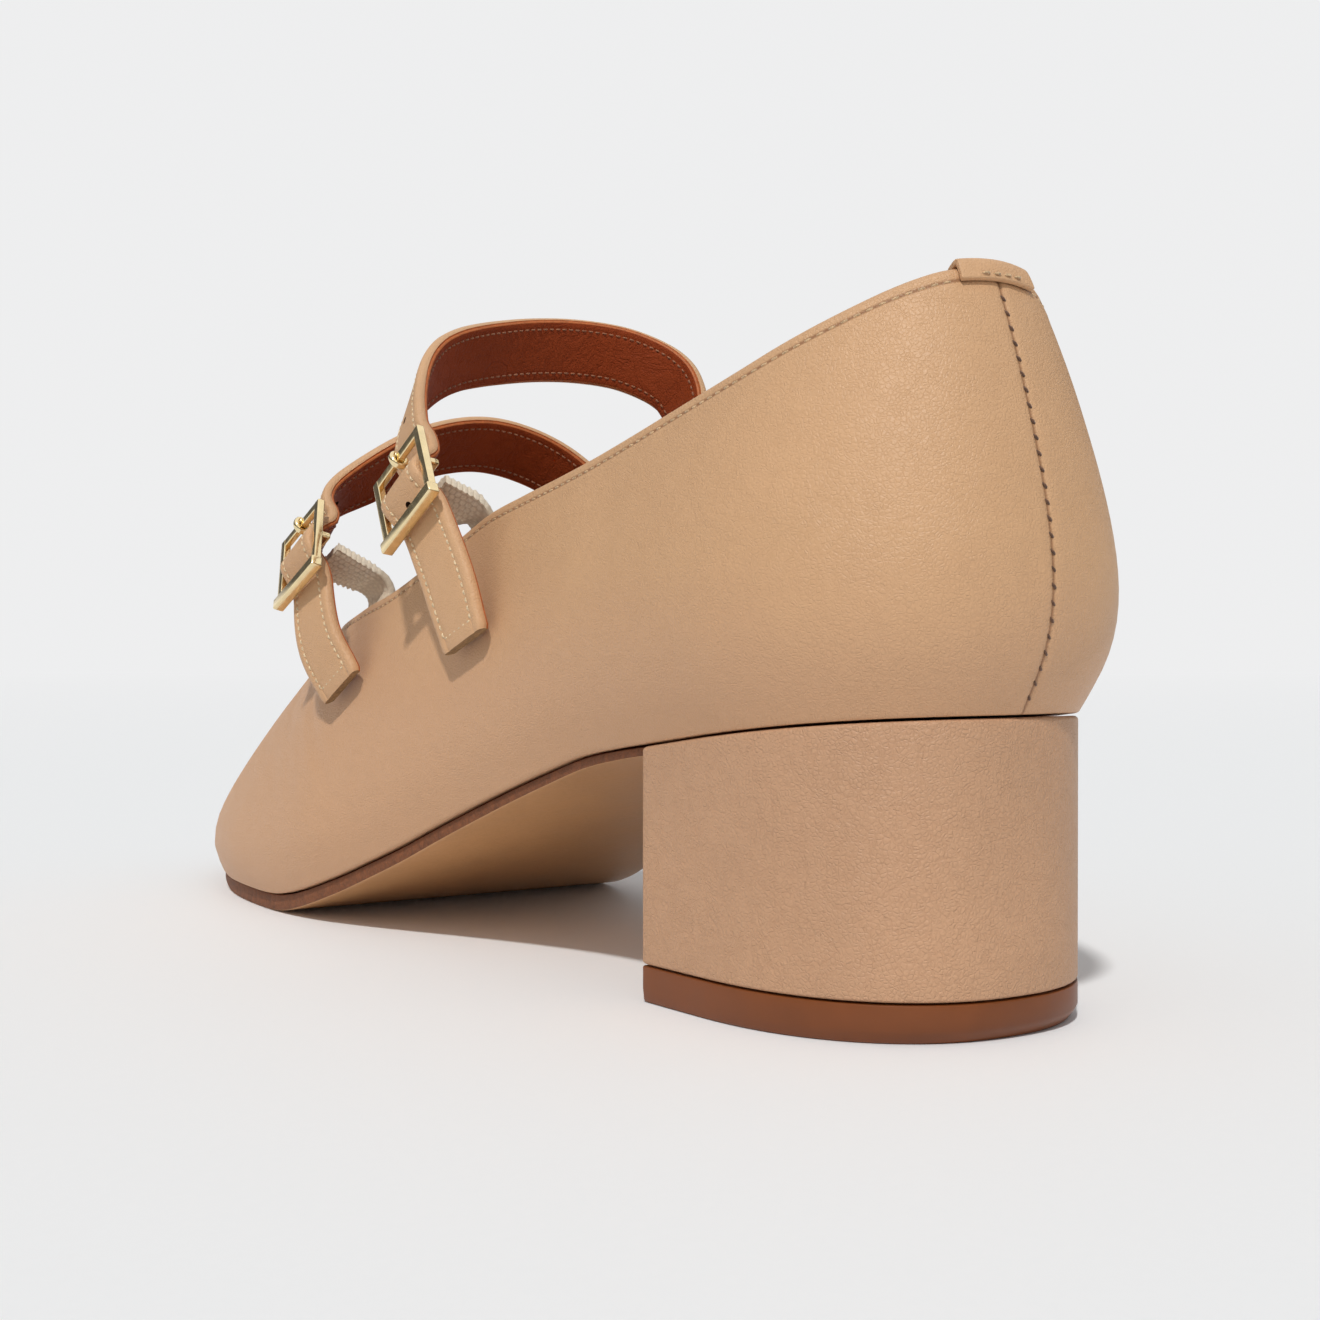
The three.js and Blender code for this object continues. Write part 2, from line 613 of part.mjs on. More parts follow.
// The strap's rise off its route near the buckle, from the distance along the buckle's own direction.
function strapRise(hub) {
  return (f) => {
    const u = f.middle.clone().sub(hub.middle).dot(hub.along);
    const reach = f.middle.distanceTo(hub.middle);
    if (reach > 14) return 0;
    const dip = Math.exp(-(((u - halfBuckle()) / 2.4) ** 2));
    return strapLift * Math.exp(-((u / (0.3 * buckleWindow)) ** 2)) - strapDip * dip;
  };
}

// Buckle: a rectangular frame over the strap, with a round middle bar that passes under it.
const halfBuckle = () => (buckleWindow + buckleBar) / 2;
const buckleRise = strapThickness / 2 + seamGap + buckleDepth / 2 + 0.5;
function rod(from, to, radius, sides = 10) {
  const along = to.clone().sub(from).normalize();
  const u = new THREE.Vector3(0.3, 0.5, 0.8).cross(along).normalize();
  const v = new THREE.Vector3().crossVectors(along, u);
  return sweep([from, to].map((p) => Array.from({ length: sides }, (_, i) => {
    const angle = (i / sides) * 2 * Math.PI;
    return p.clone().addScaledVector(u, radius * Math.cos(angle)).addScaledVector(v, radius * Math.sin(angle));
  })));
}
async function buckleGeometry(f) {
  const halfAcross = strapWidth / 2 + buckleSideRoom + buckleBar / 2;
  const corner = buckleBar * 0.56;
  const path = [];
  [[1, 1], [-1, 1], [-1, -1], [1, -1]].forEach(([a, b], q) => {
    for (let i = 0; i <= 3; i += 1) {
      const angle = (q * 90 + i * 30) * rad;
      const c = Math.cos(angle);
      const s = Math.sin(angle);
      path.push([a * (halfAcross - corner) + corner * c, b * (halfBuckle() - corner) + corner * s, c, s]);
    }
  });
  const rings = path.map(([a, b, c, s]) => [[-1, -1], [1, -1], [1, 1], [-1, 1]].map(([p, q]) => place(
    f,
    a + (c * p * buckleBar) / 2,
    buckleRise + (q * buckleDepth) / 2,
    b + (s * p * buckleBar) / 2,
  )));
  const under = strapLift - strapThickness / 2 - seamGap - buckleDepth / 2 - 0.25;
  const legs = [[halfAcross, buckleRise], [halfAcross, under], [-halfAcross, under], [-halfAcross, buckleRise]];
  const ends = legs.map(([a, out]) => place(f, a, out));
  const bars = [0, 1, 2].map((i) => rod(ends[i], ends[i + 1], buckleDepth / 2));
  return join([sweep(rings, true), ...bars]);
}
// Prong: a loop round the upper end bar, with a short pin down to the strap's hole.
async function prongGeometry(f) {
  const wide = buckleBar / 2 + seamGap;
  const high = buckleDepth / 2 + seamGap;
  const corners = [[-1, -1], [1, -1], [1, 1], [-1, 1]];
  const rings = corners.map(([b, q]) => {
    const outer = [b * (wide + prongThickness), q * (high + prongThickness)];
    const inner = [b * wide, q * high];
    return [[-1, inner], [1, inner], [1, outer], [-1, outer]].map(([a, [along, out]]) => place(
      f,
      (a * prongWidth) / 2,
      buckleRise + out,
      halfBuckle() + along,
    ));
  });
  const loop = sweep(rings, true);
  const from = place(f, 0, buckleRise + high + prongThickness / 2, halfBuckle() - wide - prongThickness / 2);
  const to = place(f, 0, buckleRise + 0.7, halfBuckle() - wide - prongThickness - 0.8);
  return join([loop, rod(from, to, 0.45, 8)]);
}

// Heel tab: folded over the topline at the back seam, a seam gap off the upper's two faces and rim.
function tabGeometry(outerRing, innerRing) {
  const n = outerRing.length;
  const rings = [];
  const lineAt = (ring, at) => {
    const low = Math.floor(at);
    const next = ring[(low + 1 + n) % n];
    return ring[(low + n) % n].map((p, i) => p.clone().lerp(next[i], at - low));
  };
  for (let k = -tabLines; k <= tabLines; k += 1) {
    const outer = lineAt(outerRing, (k * tabReach) / tabLines);
    const inner = lineAt(innerRing, (k * tabReach) / tabLines);
    const top = outer[outer.length - 1];
    const rim = inner[inner.length - 1];
    const out = top.clone().sub(rim).normalize();
    const up = top.clone().sub(outer[outer.length - 2]).normalize();
    const shell = (off) => [
      top.clone().addScaledVector(up, -tabDrop).addScaledVector(out, off),
      top.clone().addScaledVector(up, off * 0.4).addScaledVector(out, off),
      top.clone().addScaledVector(up, off).addScaledVector(out, off * 0.4),
      rim.clone().addScaledVector(up, off).addScaledVector(out, -off * 0.4),
      rim.clone().addScaledVector(up, off * 0.4).addScaledVector(out, -off),
      rim.clone().addScaledVector(up, -tabDrop).addScaledVector(out, -off),
    ];
    rings.push([...shell(seamGap), ...shell(seamGap + tabThickness).reverse()]);
  }
  return sweep(rings, false, strip);
}

let kernel = null;
async function join(geometries) {
  if (!kernel) {
    kernel = await Module();
    kernel.setup();
  }
  const parts = geometries.map((g) => new kernel.Manifold(new kernel.Mesh({
    numProp: 3,
    vertProperties: new Float32Array(g.attributes.position.array),
    triVerts: new Uint32Array(g.index.array),
  })));
  const joined = parts.reduce((a, b) => a.add(b));
  const mesh = joined.getMesh();
  const geometry = new THREE.BufferGeometry();
  geometry.setAttribute('position', new THREE.Float32BufferAttribute(mesh.vertProperties, 3));
  geometry.setIndex(Array.from(mesh.triVerts));
  geometry.computeVertexNormals();
  return geometry;
}

// Colours
const finish = (color, roughness, metalness = 0) => new THREE.MeshStandardMaterial({ color, roughness, metalness });
const leather = finish(0xcaa27b, 0.5);
const liningLeather = finish(0x7a3a1c, 0.7);
const soleLeather = finish(0x9a6238, 0.45);
const rubber = finish(0x80492c, 0.35);
const gold = finish(0xd8c48e, 0.2, 1);
const elastic = finish(0xe6d9bf, 0.9);

const pump = new THREE.Group();
pump.name = 'mary_jane_pump';
function addPiece(name, geometry, material) {
  const mesh = new THREE.Mesh(geometry, material);
  mesh.name = name;
  pump.add(mesh);
}

const outerRing = grid(upperRing());
const innerRing = inset(outerRing, upperWall);
addPiece('upper', upperGeometry(outerRing, innerRing), leather);
addPiece('outsole', outsoleGeometry(), soleLeather);
addPiece('insole', insoleGeometry(), liningLeather);
addPiece('heel', heelGeometry(), leather);
addPiece('top_piece', topPieceGeometry(), rubber);
addPiece('heel_tab', tabGeometry(outerRing, innerRing), leather);
for (const which of ['rear', 'front']) {
  const frames = routeFrames(strapRoutes[which], strapThickness, strapSamples(which));
  const [hub] = routeFrames(strapRoutes[which], strapThickness, [buckleAt(which)]);
  addPiece(`${which}_strap`, bandGeometry(frames, strapWidth, strapThickness, strapRise(hub)), leather);
  addPiece(`${which}_buckle`, await buckleGeometry(hub), gold);
  addPiece(`${which}_prong`, await prongGeometry(hub), gold);
  const elasticFrames = routeFrames(elasticRoutes[which], elasticThickness, evenSamples(14));
  addPiece(`${which}_elastic`, bandGeometry(elasticFrames, elasticWidth, elasticThickness), elastic);
}

export default pump;
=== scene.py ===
"""Mary jane pump: leather, stitching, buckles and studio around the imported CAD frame."""

import json
import math

import bmesh
import bpy
import numpy as np
from bpy.props import FloatProperty, FloatVectorProperty, IntProperty, PointerProperty
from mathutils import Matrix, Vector

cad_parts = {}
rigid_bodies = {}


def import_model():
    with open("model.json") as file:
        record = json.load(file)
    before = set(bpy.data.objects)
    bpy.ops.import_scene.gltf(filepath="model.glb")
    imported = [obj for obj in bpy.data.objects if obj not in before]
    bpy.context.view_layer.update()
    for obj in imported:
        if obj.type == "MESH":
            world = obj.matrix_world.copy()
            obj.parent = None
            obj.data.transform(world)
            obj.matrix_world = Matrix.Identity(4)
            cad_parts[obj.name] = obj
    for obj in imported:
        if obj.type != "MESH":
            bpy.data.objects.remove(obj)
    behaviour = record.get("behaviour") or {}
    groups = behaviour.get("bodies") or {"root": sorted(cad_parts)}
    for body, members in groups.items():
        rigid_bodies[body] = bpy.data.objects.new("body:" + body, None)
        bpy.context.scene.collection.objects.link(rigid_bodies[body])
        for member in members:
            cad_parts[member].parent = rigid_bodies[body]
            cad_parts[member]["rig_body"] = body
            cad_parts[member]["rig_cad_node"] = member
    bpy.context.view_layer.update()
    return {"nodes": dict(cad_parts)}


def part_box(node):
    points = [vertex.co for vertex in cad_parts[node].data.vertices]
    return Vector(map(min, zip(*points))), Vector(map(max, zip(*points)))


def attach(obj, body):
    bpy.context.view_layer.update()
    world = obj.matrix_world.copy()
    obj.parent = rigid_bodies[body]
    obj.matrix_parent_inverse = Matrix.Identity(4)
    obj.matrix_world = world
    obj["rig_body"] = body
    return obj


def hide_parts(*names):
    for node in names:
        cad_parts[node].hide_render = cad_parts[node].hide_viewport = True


bl_info = {
    "name": "Mary jane pump",
    "version": (1, 0, 0),
    "blender": (4, 5, 0),
    "location": "View3D > Sidebar > Pump",
    "description": "Leather, stitching, buckles and studio for a double-strap mary jane pump",
    "category": "Object",
}

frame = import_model()

MM = 0.001
SIDES = ("rear", "front")

# Edges at a regular point of a swept CAD mesh, and more points than any of its lines has.
REGULAR = 6
LONGEST_LINE = 3000

# Points round a section of the upper's wall, and on one of its faces.
WALL_POINTS = 30
FACE_POINTS = WALL_POINTS // 2

# Where a corner rounded off by a cut of length one has its middle point.
ROUND = 0.29

# Marks in the upper's edge and seam attributes: far from the row, and added on the lining.
FAR = 50.0
ON_LINING = 100

# Straps and buckles as the CAD has them. Millimetres.
STRAP_HALF_WIDTH = 5.8
STRAP_HALF_THICKNESS = 1.1
STRAP_LIFT = 3.1
BAR_GAP = 0.3
SIDE_BAR = 1.9
TOP_BAR = 1.5
BAR_DEPTH = 1.3
WINDOW = 11.0

# The studio's colour as the camera sees it.
BACKDROP = (0.855, 0.857, 0.862, 1.0)

# Buckle centres on the straps, with the directions along the strap, across it and outwards. Millimetres.
HUBS = {
    "rear": {
        "middle": (32.819, -77.748, 74.448),
        "along": (-0.13, -0.5872, 0.7989),
        "across": (0.0999, -0.8094, -0.5786),
        "out": (0.9865, 0.0046, 0.1639),
    },
    "front": {
        "middle": (34.003, -115.7904, 65.208),
        "along": (-0.2714, -0.4656, 0.8423),
        "across": (0.0605, -0.8817, -0.4679),
        "out": (0.9606, -0.076, 0.2675),
    },
}
HUBS = {side: {name: np.array(v) for name, v in hub.items()} for side, hub in HUBS.items()}

# Camera, in the shoe's own frame: where it stands, its heading and how far it looks down.
CAMERA_AT = (171.5, 191.9, 50.0)
CAMERA_HEADING = 34.6
CAMERA_DOWN = 0.5
CAMERA_LENS = 50.8

# Soft creases of the leather: the points each one runs through, its depth and its width. Millimetres.
CREASES = (
    (((0.5, 30.0, 58.2), (3.2, 29.6, 58.6), (7.5, 27.6, 57.6)), 0.26, 0.6),
    (((1.5, 30.0, 55.0), (5.0, 28.8, 55.6)), 0.1, 0.5),
    (((29.0, -4.0, 40.5), (30.5, -9.0, 41.5), (31.2, -14.0, 40.6)), 0.2, 0.8),
    (((30.0, -13.0, 37.2), (31.0, -18.0, 38.4), (31.6, -22.0, 38.0)), 0.18, 0.7),
    (((36.0, -108.0, 26.0), (33.0, -121.0, 37.0), (26.0, -131.0, 45.5)), 0.28, 1.7),
    (((38.5, -118.0, 19.0), (35.5, -130.0, 31.0), (27.0, -141.0, 41.0)), 0.32, 1.9),
    (((39.5, -131.0, 14.0), (36.0, -142.0, 26.0), (26.0, -152.0, 35.0)), 0.22, 1.8),
    (((-40.5, -112.0, 19.0), (-37.0, -126.0, 31.0), (-28.0, -137.0, 42.0)), 0.3, 1.8),
    (((-42.5, -126.0, 14.0), (-38.0, -138.0, 26.0), (-28.0, -149.0, 35.5)), 0.24, 1.8),
)


# Curves and grids

def smooth_run(knots, points, at, closed=False):
    """Points of the smooth curve through rows of points, at other values of its knots."""
    x = np.asarray(knots, float)
    p = np.asarray(points, float)
    at = np.asarray(at, float)
    if closed:
        span = x[-1] - x[0]
        x = np.concatenate([[x[-2] - span], x, [x[1] + span]])
        p = np.concatenate([p[-1:], p, p[:2]])
    else:
        x = np.concatenate([[2 * x[0] - x[1]], x, [2 * x[-1] - x[-2]]])
        p = np.concatenate([[2 * p[0] - p[1]], p, [2 * p[-1] - p[-2]]])
    shape = (-1,) + (1,) * (p.ndim - 1)
    step = np.diff(x).reshape(shape)
    slope = np.diff(p, axis=0) / step
    tangent = (step[1:] * slope[:-1] + step[:-1] * slope[1:]) / (step[1:] + step[:-1])
    x = x[1:-1]
    p = p[1:-1]
    k = np.clip(np.searchsorted(x, at, side="right") - 1, 0, len(x) - 2)
    width = (x[k + 1] - x[k]).reshape(shape)
    t = (at - x[k]).reshape(shape) / width
    near = p[k] * (1 + 2 * t) * (1 - t) ** 2 + p[k + 1] * t * t * (3 - 2 * t)
    return near + width * (tangent[k] * t * (1 - t) ** 2 - tangent[k + 1] * t * t * (1 - t))


def run_length(points):
    """Distance along a run of points, from its first."""
    steps = np.linalg.norm(np.diff(points, axis=0), axis=-1)
    return np.concatenate([[0.0], np.cumsum(steps)])


def unit(v):
    """Vectors scaled to length one."""
    v = np.asarray(v, float)
    return v / np.maximum(np.linalg.norm(v, axis=-1, keepdims=True), 1e-12)


def neighbours(vert):
    """The vertices round a vertex of a closed mesh, in order."""
    first = vert.link_loops[0]
    loop = first
    found = []
    while True:
        found.append(loop.link_loop_next.vert)
        loop = loop.link_loop_prev.link_loop_radial_next
        if loop == first:
            return found


def straight_line(start, step):
    """The line of edges that runs straight on from start through step, to its end or back to start."""
    line = [start]
    before = start
    here = step
    while here != start:
        line.append(here)
        ring = neighbours(here)
        if len(ring) != REGULAR or len(line) > LONGEST_LINE:
            return line, False
        here, before = opposite(ring, ring.index(before)), here
    return line, True


def opposite(ring, k, turn=0):
    """The vertex of a regular ring that lies opposite its vertex k, some places turned."""
    return ring[(k + turn + REGULAR // 2) % REGULAR]


def swept_rings(node, size):
    """The rings of a swept CAD node, in order along it: an array of rings by points, in millimetres."""
    bm = bmesh.new()
    bm.from_mesh(frame["nodes"][node].data)
    bmesh.ops.remove_doubles(bm, verts=bm.verts, dist=1e-6)
    middle = (Vector(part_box(node)[0]) + Vector(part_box(node)[1])) / 2
    regular = [v for v in bm.verts if len(v.link_edges) == REGULAR]
    for seed in sorted(regular, key=lambda v: (v.co - middle).length):
        around = neighbours(seed)
        lines = [straight_line(seed, vert) for vert in around[:REGULAR // 2]]
        turns = [k for k, (line, closed) in enumerate(lines) if closed and len(line) == size]
        if turns:
            break
    k = turns[0]
    ring = lines[k][0]
    trial = {o: straight_line(seed, around[(k + o) % REGULAR]) for o in (1, 2)}
    if trial[1][1]:
        turn = min(trial, key=lambda o: len(trial[o][0]))
    else:
        turn = min(trial, key=lambda o: (around[(k + o) % REGULAR].co - seed.co).length
                   + (opposite(around, k, o).co - seed.co).length)
    lines = []
    for j, vert in enumerate(ring):
        order = neighbours(vert)
        at = order.index(ring[(j + 1) % size])
        ahead, closed = straight_line(vert, order[(at + turn) % REGULAR])
        behind = [] if closed else straight_line(vert, opposite(order, at, turn))[0][1:]
        lines.append([v.co[:] for v in behind[::-1] + ahead])
    bm.free()
    return np.array(lines).transpose(1, 0, 2) / MM


def upper_lines():
    """The upper's outer and inner faces as lines of points, from the back seam on and from the bottom up."""
    rings = swept_rings("upper", WALL_POINTS)
    middle = rings.mean(axis=1)
    back = min((k for k in range(len(rings)) if middle[k, 1] > 0), key=lambda k: abs(middle[k, 0]))
    line = rings[back]
    tops = sorted(range(WALL_POINTS), key=lambda j: -line[j, 2])[:2]
    top = max(tops, key=lambda j: line[j, 1])
    after = np.linalg.norm(line[(top + 1) % WALL_POINTS] - line[top])
    before = np.linalg.norm(line[top - 1] - line[top])
    if before < after:
        rings = rings[:, ::-1]
        top = WALL_POINTS - 1 - top
    rings = np.roll(rings, FACE_POINTS - 1 - top, axis=1)
    rings = np.roll(rings, -back, axis=0)
    if rings[3, 0, 0] < 0:
        rings = np.roll(rings[::-1], 1, axis=0)
    return rings[:, :FACE_POINTS], rings[:, FACE_POINTS:][:, ::-1]


# Meshes and objects

def deselect():
    """Leaves nothing selected."""
    bpy.ops.object.select_all(action="DESELECT")


def pick(obj):
    """Makes obj the only selected object, and the active one."""
    deselect()
    obj.select_set(True)
    bpy.context.view_layer.objects.active = obj


def add_mesh(name, verts, faces, materials, which=None):
    """A new object with a mesh in millimetres. which gives each face's material number."""
    mesh = bpy.data.meshes.new(name)
    mesh.from_pydata((np.asarray(verts, float) * MM).tolist(), [], [list(map(int, f)) for f in faces])
    mesh.update()
    obj = bpy.data.objects.new(name, mesh)
    bpy.context.scene.collection.objects.link(obj)
    for material in materials:
        mesh.materials.append(material)
    if which is not None:
        mesh.polygons.foreach_set("material_index", np.asarray(which, np.int32))
    return obj


def set_attribute(obj, name, values):
    """Writes one number to each vertex, for a material to read."""
    attribute = obj.data.attributes.new(name, "FLOAT", "POINT")
    attribute.data.foreach_set("value", np.asarray(values, np.float32))


def apply_modifiers(obj):
    """Applies every modifier of obj, in order."""
    pick(obj)
    for modifier in list(obj.modifiers):
        bpy.ops.object.modifier_apply(modifier=modifier.name)


def outward(obj):
    """Turns the faces of a closed mesh outwards."""
    pick(obj)
    bpy.ops.object.mode_set(mode="EDIT")
    bpy.ops.mesh.select_all(action="SELECT")
    bpy.ops.mesh.normals_make_consistent(inside=False)
    bpy.ops.object.mode_set(mode="OBJECT")


def smooth(obj, degrees):
    """Shades obj smooth, apart from edges sharper than an angle."""
    pick(obj)
    bpy.ops.object.shade_smooth_by_angle(angle=math.radians(degrees))


def hand_over(obj, slot, *nodes):
    """Puts a finished piece on the shoe's body and hides the CAD nodes that it stands for. The slot is not
    used.
    """
    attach(obj, "root")
    if nodes:
        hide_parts(*nodes)


def grid_faces(rows, columns, closed_rows=False, closed_columns=False):
    """Faces of a grid of rows by columns of points."""
    faces = []
    for i in range(rows if closed_rows else rows - 1):
        for j in range(columns if closed_columns else columns - 1):
            a = i * columns + j
            b = i * columns + (j + 1) % columns
            c = ((i + 1) % rows) * columns
            faces.append((a, b, c + (j + 1) % columns, c + j))
    return faces


def end_caps(rows, columns):
    """The two faces that close a grid of rings at its ends."""
    return [tuple(range(columns))[::-1], tuple(range((rows - 1) * columns, rows * columns))]


def swept(name, rings, materials, which_of=None, end_material=0):
    """A closed solid swept through rings of equally many points. which_of gives a ring edge's material."""
    rings = np.asarray(rings)
    count, size = rings.shape[:2]
    faces = grid_faces(count, size, closed_columns=True)
    which = None
    if which_of:
        which = [which_of(k % size) for k in range(len(faces))] + [end_material] * 2
    obj = add_mesh(name, rings.reshape(-1, 3), faces + end_caps(count, size), materials, which)
    outward(obj)
    return obj


# Bands: straps and elastics

def band_frames(rings, step):
    """Even frames along a band from its CAD rings of eight points, with half its width and thickness."""
    if rings[0, :, 0].mean() < rings[-1, :, 0].mean():
        rings = rings[::-1]
    mid = rings[len(rings) // 2]
    long_edges = sorted(range(8), key=lambda j: -np.linalg.norm(mid[(j + 1) % 8] - mid[j]))[:2]
    core = np.array([0.0, mid[:, 1].mean(), 40.0])
    away = unit(mid.mean(axis=0) - core)
    inner = min(long_edges, key=lambda j: ((mid[j] + mid[(j + 1) % 8]) / 2 - mid.mean(axis=0)) @ away)
    rings = np.roll(rings, 1 - inner, axis=1)
    middle = rings.mean(axis=1)
    across = unit(rings[:, 2] - rings[:, 1])
    out = unit((rings[:, 5] + rings[:, 6]) / 2 - (rings[:, 1] + rings[:, 2]) / 2)
    wide = np.linalg.norm(rings[:, 3] - rings[:, 0], axis=-1).mean() / 2
    high = np.linalg.norm(rings[:, 5] - rings[:, 2], axis=-1).mean() / 2
    knots = run_length(middle)
    at = np.linspace(0, knots[-1], int(knots[-1] / step) + 1)
    middle = smooth_run(knots, middle, at)
    along = unit(np.gradient(middle, axis=0))
    across = smooth_run(knots, across, at)
    across = unit(across - along * (across * along).sum(axis=1, keepdims=True))
    out = smooth_run(knots, out, at)
    sign = np.sign((np.cross(along, across) * out).sum(axis=1).mean())
    out = sign * np.cross(along, across)
    return {"middle": middle, "across": across, "out": out, "along": along, "at": at, "w": wide, "h": high}


def on_band(band, k, across, out):
    """Points of a band at frames k, some way across and out of it."""
    across = np.asarray(across, float)[..., None]
    out = np.asarray(out, float)[..., None]
    return band["middle"][k] + band["across"][k] * across + band["out"][k] * out


def strap_section(w, h):
    """Half a strap's section, from its lining round to its outer face, with each point's material."""
    lining = 0.5
    return [
        (w - 2.6, -h, 1), (w - 2.1, -h + 0.02, 1), (w - 1.8, -h + 0.1, 1), (w - 1.5, -h + 0.02, 1),
        (w - 0.6, -h, 1), (w - 0.42, -h + 0.1, 2), (w - 0.34, -h + 0.3, 2), (w - 0.42, -h + lining, 2),
        (w - 0.16, -h + lining + 0.08, 0), (w - 0.02, -h + lining + 0.36, 0), (w, -h + lining + 0.7, 0),
        (w - 0.08, h - 0.5, 0), (w - 0.34, h - 0.18, 0), (w - 0.75, h - 0.02, 0), (w - 1.25, h + 0.02, 0),
        (w - 1.6, h - 0.05, 0), (w - 1.85, h - 0.17, 0), (w - 2.1, h - 0.06, 0), (w - 2.6, h, 0),
        (w - 3.8, h + 0.04, 0),
    ]


def stitch_mesh(name, points, along, out, length, thick, material, lean=0.0):
    """Stitches as small closed lozenges of thread, one at each point, whose ends dive into the leather."""
    side = unit(np.cross(out, along))
    if lean:
        c, s = math.cos(math.radians(lean)), math.sin(math.radians(lean))
        along, side = along * c + side * s, side * c - along * s
    profile = ((-0.5, 0.4, -0.45), (-0.34, 0.9, 0.05), (0.0, 1.0, 0.3), (0.34, 0.9, 0.05), (0.5, 0.4, -0.45))
    sides = 6
    template = []
    for x, r, lift in profile:
        for k in range(sides):
            angle = 2 * math.pi * k / sides
            template.append((x * length, r * thick / 2 * math.cos(angle),
                             r * thick / 2 * math.sin(angle) + lift * thick))
    template = np.array(template)[None]
    faces = grid_faces(len(profile), sides, closed_columns=True) + end_caps(len(profile), sides)
    verts = (points[:, None] + template[..., :1] * along[:, None]
             + template[..., 1:2] * side[:, None] + template[..., 2:] * out[:, None])
    size = len(profile) * sides
    all_faces = [tuple(size * n + v for v in f) for n in range(len(points)) for f in faces]
    obj = add_mesh(name, verts.reshape(-1, 3), all_faces, [material])
    outward(obj)
    smooth(obj, 60)
    return obj


def join_objects(name, objects):
    """Joins objects into one piece."""
    deselect()
    for obj in objects:
        obj.select_set(True)
    bpy.context.view_layer.objects.active = objects[0]
    bpy.ops.object.join()
    objects[0].name = name
    return objects[0]


# Materials

def new_group(name, inputs, outputs):
    """A shader node group with named number sockets: its tree, and its input and output nodes."""
    tree = bpy.data.node_groups.new(name, "ShaderNodeTree")
    for label, value in inputs:
        socket = tree.interface.new_socket(name=label, in_out="INPUT", socket_type="NodeSocketFloat")
        socket.default_value = value
    for label in outputs:
        tree.interface.new_socket(name=label, in_out="OUTPUT", socket_type="NodeSocketFloat")
    return tree, tree.nodes.new("NodeGroupInput"), tree.nodes.new("NodeGroupOutput")


def add_node(tree, kind, links=(), **settings):
    """A node with its settings, and links from other nodes' sockets to its named inputs."""
    node = tree.nodes.new(kind)
    for name, value in settings.items():
        setattr(node, name, value)
    for name, source in dict(links).items():
        socket = node.inputs[name]
        if isinstance(source, bpy.types.NodeSocket):
            tree.links.new(source, socket)
        else:
            socket.default_value = source
    return node


def math_node(tree, operation, a, b=0.0):
    """The output of a Math node."""
    return add_node(tree, "ShaderNodeMath", {0: a, 1: b}, operation=operation).outputs[0]


def weighted(tree, *terms):
    """The sum of values, each times its factor."""
    total = 0.0
    for value, factor in terms:
        total = math_node(tree, "ADD", total, math_node(tree, "MULTIPLY", value, factor))
    return total


def place_of(tree):
    """Points in the piece's own space."""
    return add_node(tree, "ShaderNodeTexCoord").outputs["Object"]


def noise(tree, scale, detail, place=None, **more):
    """The value of a Noise texture, in the piece's own space unless a place is given."""
    place = place_of(tree) if place is None else place
    inputs = {"Vector": place, "Scale": scale, "Detail": detail, **more}
    return add_node(tree, "ShaderNodeTexNoise", inputs).outputs["Fac"]


def attribute_of(tree, name):
    """The value that set_attribute wrote under a name."""
    return add_node(tree, "ShaderNodeAttribute", attribute_name=name).outputs["Fac"]


def blend_colour(tree, share, a, b):
    """The output of a colour Mix node."""
    return add_node(tree, "ShaderNodeMix", {0: share, 6: a, 7: b}, data_type="RGBA").outputs[2]


def paint(tree, shader, share, a, b):
    """Colours a shader from one tone to another, by a share."""
    tree.links.new(blend_colour(tree, share, a, b), shader.inputs["Base Color"])


def spread(tree, value, low, high, to_low=0.0, to_high=1.0):
    """A value mapped from one range to another, and held inside it."""
    node = add_node(tree, "ShaderNodeMapRange", {
        "Value": value, "From Min": low, "From Max": high, "To Min": to_low, "To Max": to_high,
    })
    return node.outputs["Result"]


def rgb(colour, factor=1.0):
    """A linear colour with alpha from a colour setting, toned by one factor or by one for each channel."""
    factors = factor if isinstance(factor, tuple) else (factor,) * 3
    return tuple(min(1.0, c * f) for c, f in zip(colour, factors)) + (1.0,)


